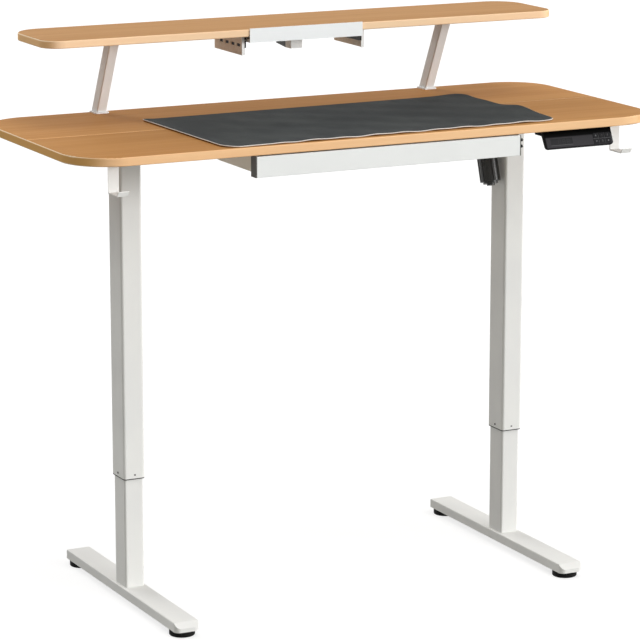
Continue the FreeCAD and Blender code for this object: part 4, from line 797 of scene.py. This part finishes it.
def mat_mesh():
    """The cloth above, its backing below, and a rounded rim round the cut edge."""
    mesh = bmesh.new()

    def corner(x, y, height):
        """A corner of the mesh, at a place of the flat mat and a height above its underside."""
        turned = Matrix.Rotation(MAT_TURN, 2) @ Vector((x, y))
        return mesh.verts.new((mat_centre[0] + turned.x, mat_centre[1] + turned.y,
                               desk_level + mat_lift(x, y) + height))

    def shares(j, i):
        """Across and along the mat, from -1 to 1, at a row and column."""
        return 2 * i / MAT_COLUMNS - 1, 2 * j / MAT_ROWS - 1

    def grid(height):
        return [[corner(*mat_outline(*shares(j, i), MAT_RIM), height) for i in range(MAT_COLUMNS + 1)]
                for j in range(MAT_ROWS + 1)]

    under, face = grid(MAT_GAP), grid(MAT_THICK)
    for j in range(MAT_ROWS):
        for i in range(MAT_COLUMNS):
            square = (j, i), (j, i + 1), (j + 1, i + 1), (j + 1, i)
            mesh.faces.new([face[row][column] for row, column in square]).material_index = CLOTH
            square = (j + 1, i), (j + 1, i + 1), (j, i + 1), (j, i)
            mesh.faces.new([under[row][column] for row, column in square]).material_index = BACKING
    ring = [(0, i) for i in range(MAT_COLUMNS)] + [(j, MAT_COLUMNS) for j in range(MAT_ROWS)]
    ring += [(MAT_ROWS, i) for i in range(MAT_COLUMNS, 0, -1)] + [(j, 0) for j in range(MAT_ROWS, 0, -1)]
    loops = [[face[j][i] for j, i in ring]]
    for k in range(1, RIM_STEPS):
        angle = math.pi * (0.5 - k / RIM_STEPS)
        height = MAT_THICK / 2 * (1 + math.sin(angle)) + RIM_BULGE * math.cos(angle)
        loop = []
        for j, i in ring:
            inner = Vector(mat_outline(*shares(j, i), MAT_RIM))
            out = Vector(mat_outline(*shares(j, i), 0.0)) - inner
            place = inner + out * math.cos(angle)
            loop.append(corner(place.x, place.y, height))
        loops.append(loop)
    loops.append([under[j][i] for j, i in ring])
    for depth, (upper, lower) in enumerate(zip(loops, loops[1:])):
        for k in range(len(ring)):
            n = (k + 1) % len(ring)
            strip = mesh.faces.new((lower[k], lower[n], upper[n], upper[k]))
            strip.material_index = BACKING if depth else CLOTH
    for each in mesh.faces:
        each.smooth = True
    return plain_mesh("mat", mesh)


def mat_cloth():
    """Dark coated cloth: a fine weave, soft creases, and paler patches and streaks, partly rubbed wear and
    partly painted sheen of creases.
    """
    material, field = new_finish("mat_cloth", Specular_IOR_Level=0.06)
    place = field.place()
    weave = place.noise(1400.0, 2.0, 0.6)
    crease = place.noise(1.0, 4.0, 0.6, (38.0, 26.0, 10.0))
    # Paler patches and streaks along the mat: partly rubbed wear, partly painted sheen where creases catch
    # the light.
    wear_and_crease_sheen = place.noise(7.0, 4.0, 0.55) * 0.55 + place.noise(1.0, 4.0, 0.6, (17.0, 8.0, 4.0)) * 0.45
    wear_and_crease_sheen.ease(0.36, 0.64).blend(colour(51, 54, 55), colour(66, 69, 69)).feed("Base Color")
    wear_and_crease_sheen.ease(0.2, 0.8, 0.66, 0.78).feed("Roughness")
    (crease * 0.85 + weave * 0.15).relief(0.0022, 0.6).feed("Normal")
    return material


mat_backing = moulded("mat_backing", colour(246, 240, 234), colour(214, 207, 200),
                      rough=0.85, grain=900.0, depth=0.0002, shine=0.1)
mat = add_object("desk_mat_sheet", mat_mesh())
mat.data.materials.append(mat_cloth())
mat.data.materials.append(mat_backing)
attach(mat, "top")
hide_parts("desk_mat")


# Studio: a pale floor that shows white but keeps the object's shadow, a low lamp from the front
# right, weaker ones from the front, above and behind, a faintly warm room that is brightest
# overhead, and the camera where the photograph was taken from.

def light_path(field):
    """1 for what the camera sees, straight, mirrored or through glass."""
    sees = field.node("ShaderNodeLightPath", out="Is Camera Ray")
    mirrored = field.node("ShaderNodeLightPath", out="Is Glossy Ray")
    through = field.node("ShaderNodeLightPath", out="Is Transmission Ray")
    return field.maths("MAXIMUM", field.maths("MAXIMUM", sees, mirrored), through)


FLOOR_REACH = 30.0
FLOOR_BOUNCE = (0.390, 0.387, 0.368, 1.0)
FLOOR_SHOWN = (0.36, 0.36, 0.36, 1.0)
FLOOR_GLOW = 0.74
WHITE = (1.0, 1.0, 1.0, 1.0)
floor_mesh = bmesh.new()
bmesh.ops.create_grid(floor_mesh, x_segments=2, y_segments=2, size=FLOOR_REACH)
floor = add_object("studio_floor", plain_mesh("floor", floor_mesh))
floor_material = bpy.data.materials.new("studio_floor")
floor_material.use_nodes = True
floor_tree = floor_material.node_tree
floor_tree.nodes.remove(floor_tree.nodes["Principled BSDF"])
paper = Field(floor_tree)
bounce = paper.node("ShaderNodeBsdfDiffuse", None, {"Color": FLOOR_BOUNCE})
shown = paper.node("ShaderNodeAddShader", None, {
    0: paper.node("ShaderNodeBsdfDiffuse", None, {"Color": FLOOR_SHOWN}),
    1: paper.node("ShaderNodeEmission", None, {"Color": WHITE, "Strength": FLOOR_GLOW})})
surface = paper.node("ShaderNodeMixShader", None, {0: light_path(paper), 1: bounce, 2: shown})
floor_tree.links.new(surface.socket, floor_tree.nodes["Material Output"].inputs["Surface"])
floor.data.materials.append(floor_material)

ROOM_LIGHT = 0.11
OVERHEAD = 0.77
ROOM_TONE = (1.0, 0.992, 0.960, 1.0)
world = bpy.data.worlds.new("studio")
world.use_nodes = True
bpy.context.scene.world = world
backdrop = world.node_tree.nodes["Background"]
sky = Field(world.node_tree)
rise = sky.maths("MAXIMUM", sky.node("ShaderNodeTexCoord", out="Generated").part("Z"), 0.0)
room = rise * rise * OVERHEAD + ROOM_LIGHT
seen = light_path(sky)
strength = seen + (1.0 - seen) * room
world.node_tree.links.new(strength.socket, backdrop.inputs["Strength"])
tone = seen.blend(ROOM_TONE, WHITE)
world.node_tree.links.new(tone.socket, backdrop.inputs["Color"])


def soft_lamp(name, towards, power, spread):
    """A broad lamp far away, in the direction that it is seen in from the object."""
    data = bpy.data.lights.new(name, "SUN")
    data.energy = power
    data.angle = math.radians(spread)
    lamp = add_object(name, data)
    lamp.rotation_euler = (-Vector(towards)).to_track_quat("-Z", "Y").to_euler()


soft_lamp("side_lamp", towards=(0.76, -0.645, 0.085), power=2.32, spread=18.0)
soft_lamp("front_lamp", towards=(0.25, -0.80, 0.55), power=0.44, spread=30.0)
soft_lamp("top_lamp", towards=(0.15, -0.25, 0.956), power=0.60, spread=40.0)
soft_lamp("rear_lamp", towards=(-0.22, 0.83, 0.51), power=1.30, spread=40.0)

CAMERA_PLACE = (-3.0582, -6.1010, 2.1102)
CAMERA_TURN = 26.585
CAMERA_DOWN = 12.594
FOCAL_PIXELS = 3112.8
FRAME_PIXELS = 640.0
camera_data = bpy.data.cameras.new("camera")
camera_data.sensor_width = 36.0
camera_data.lens = FOCAL_PIXELS / FRAME_PIXELS * camera_data.sensor_width
camera_data.clip_end = 100.0
camera = add_object("camera", camera_data)
camera.location = CAMERA_PLACE
camera.rotation_euler = (math.radians(90.0 - CAMERA_DOWN), 0.0, math.radians(-CAMERA_TURN))
bpy.context.scene.camera = camera
bpy.context.scene.view_settings.view_transform = "Standard"

bpy.context.view_layer.update()
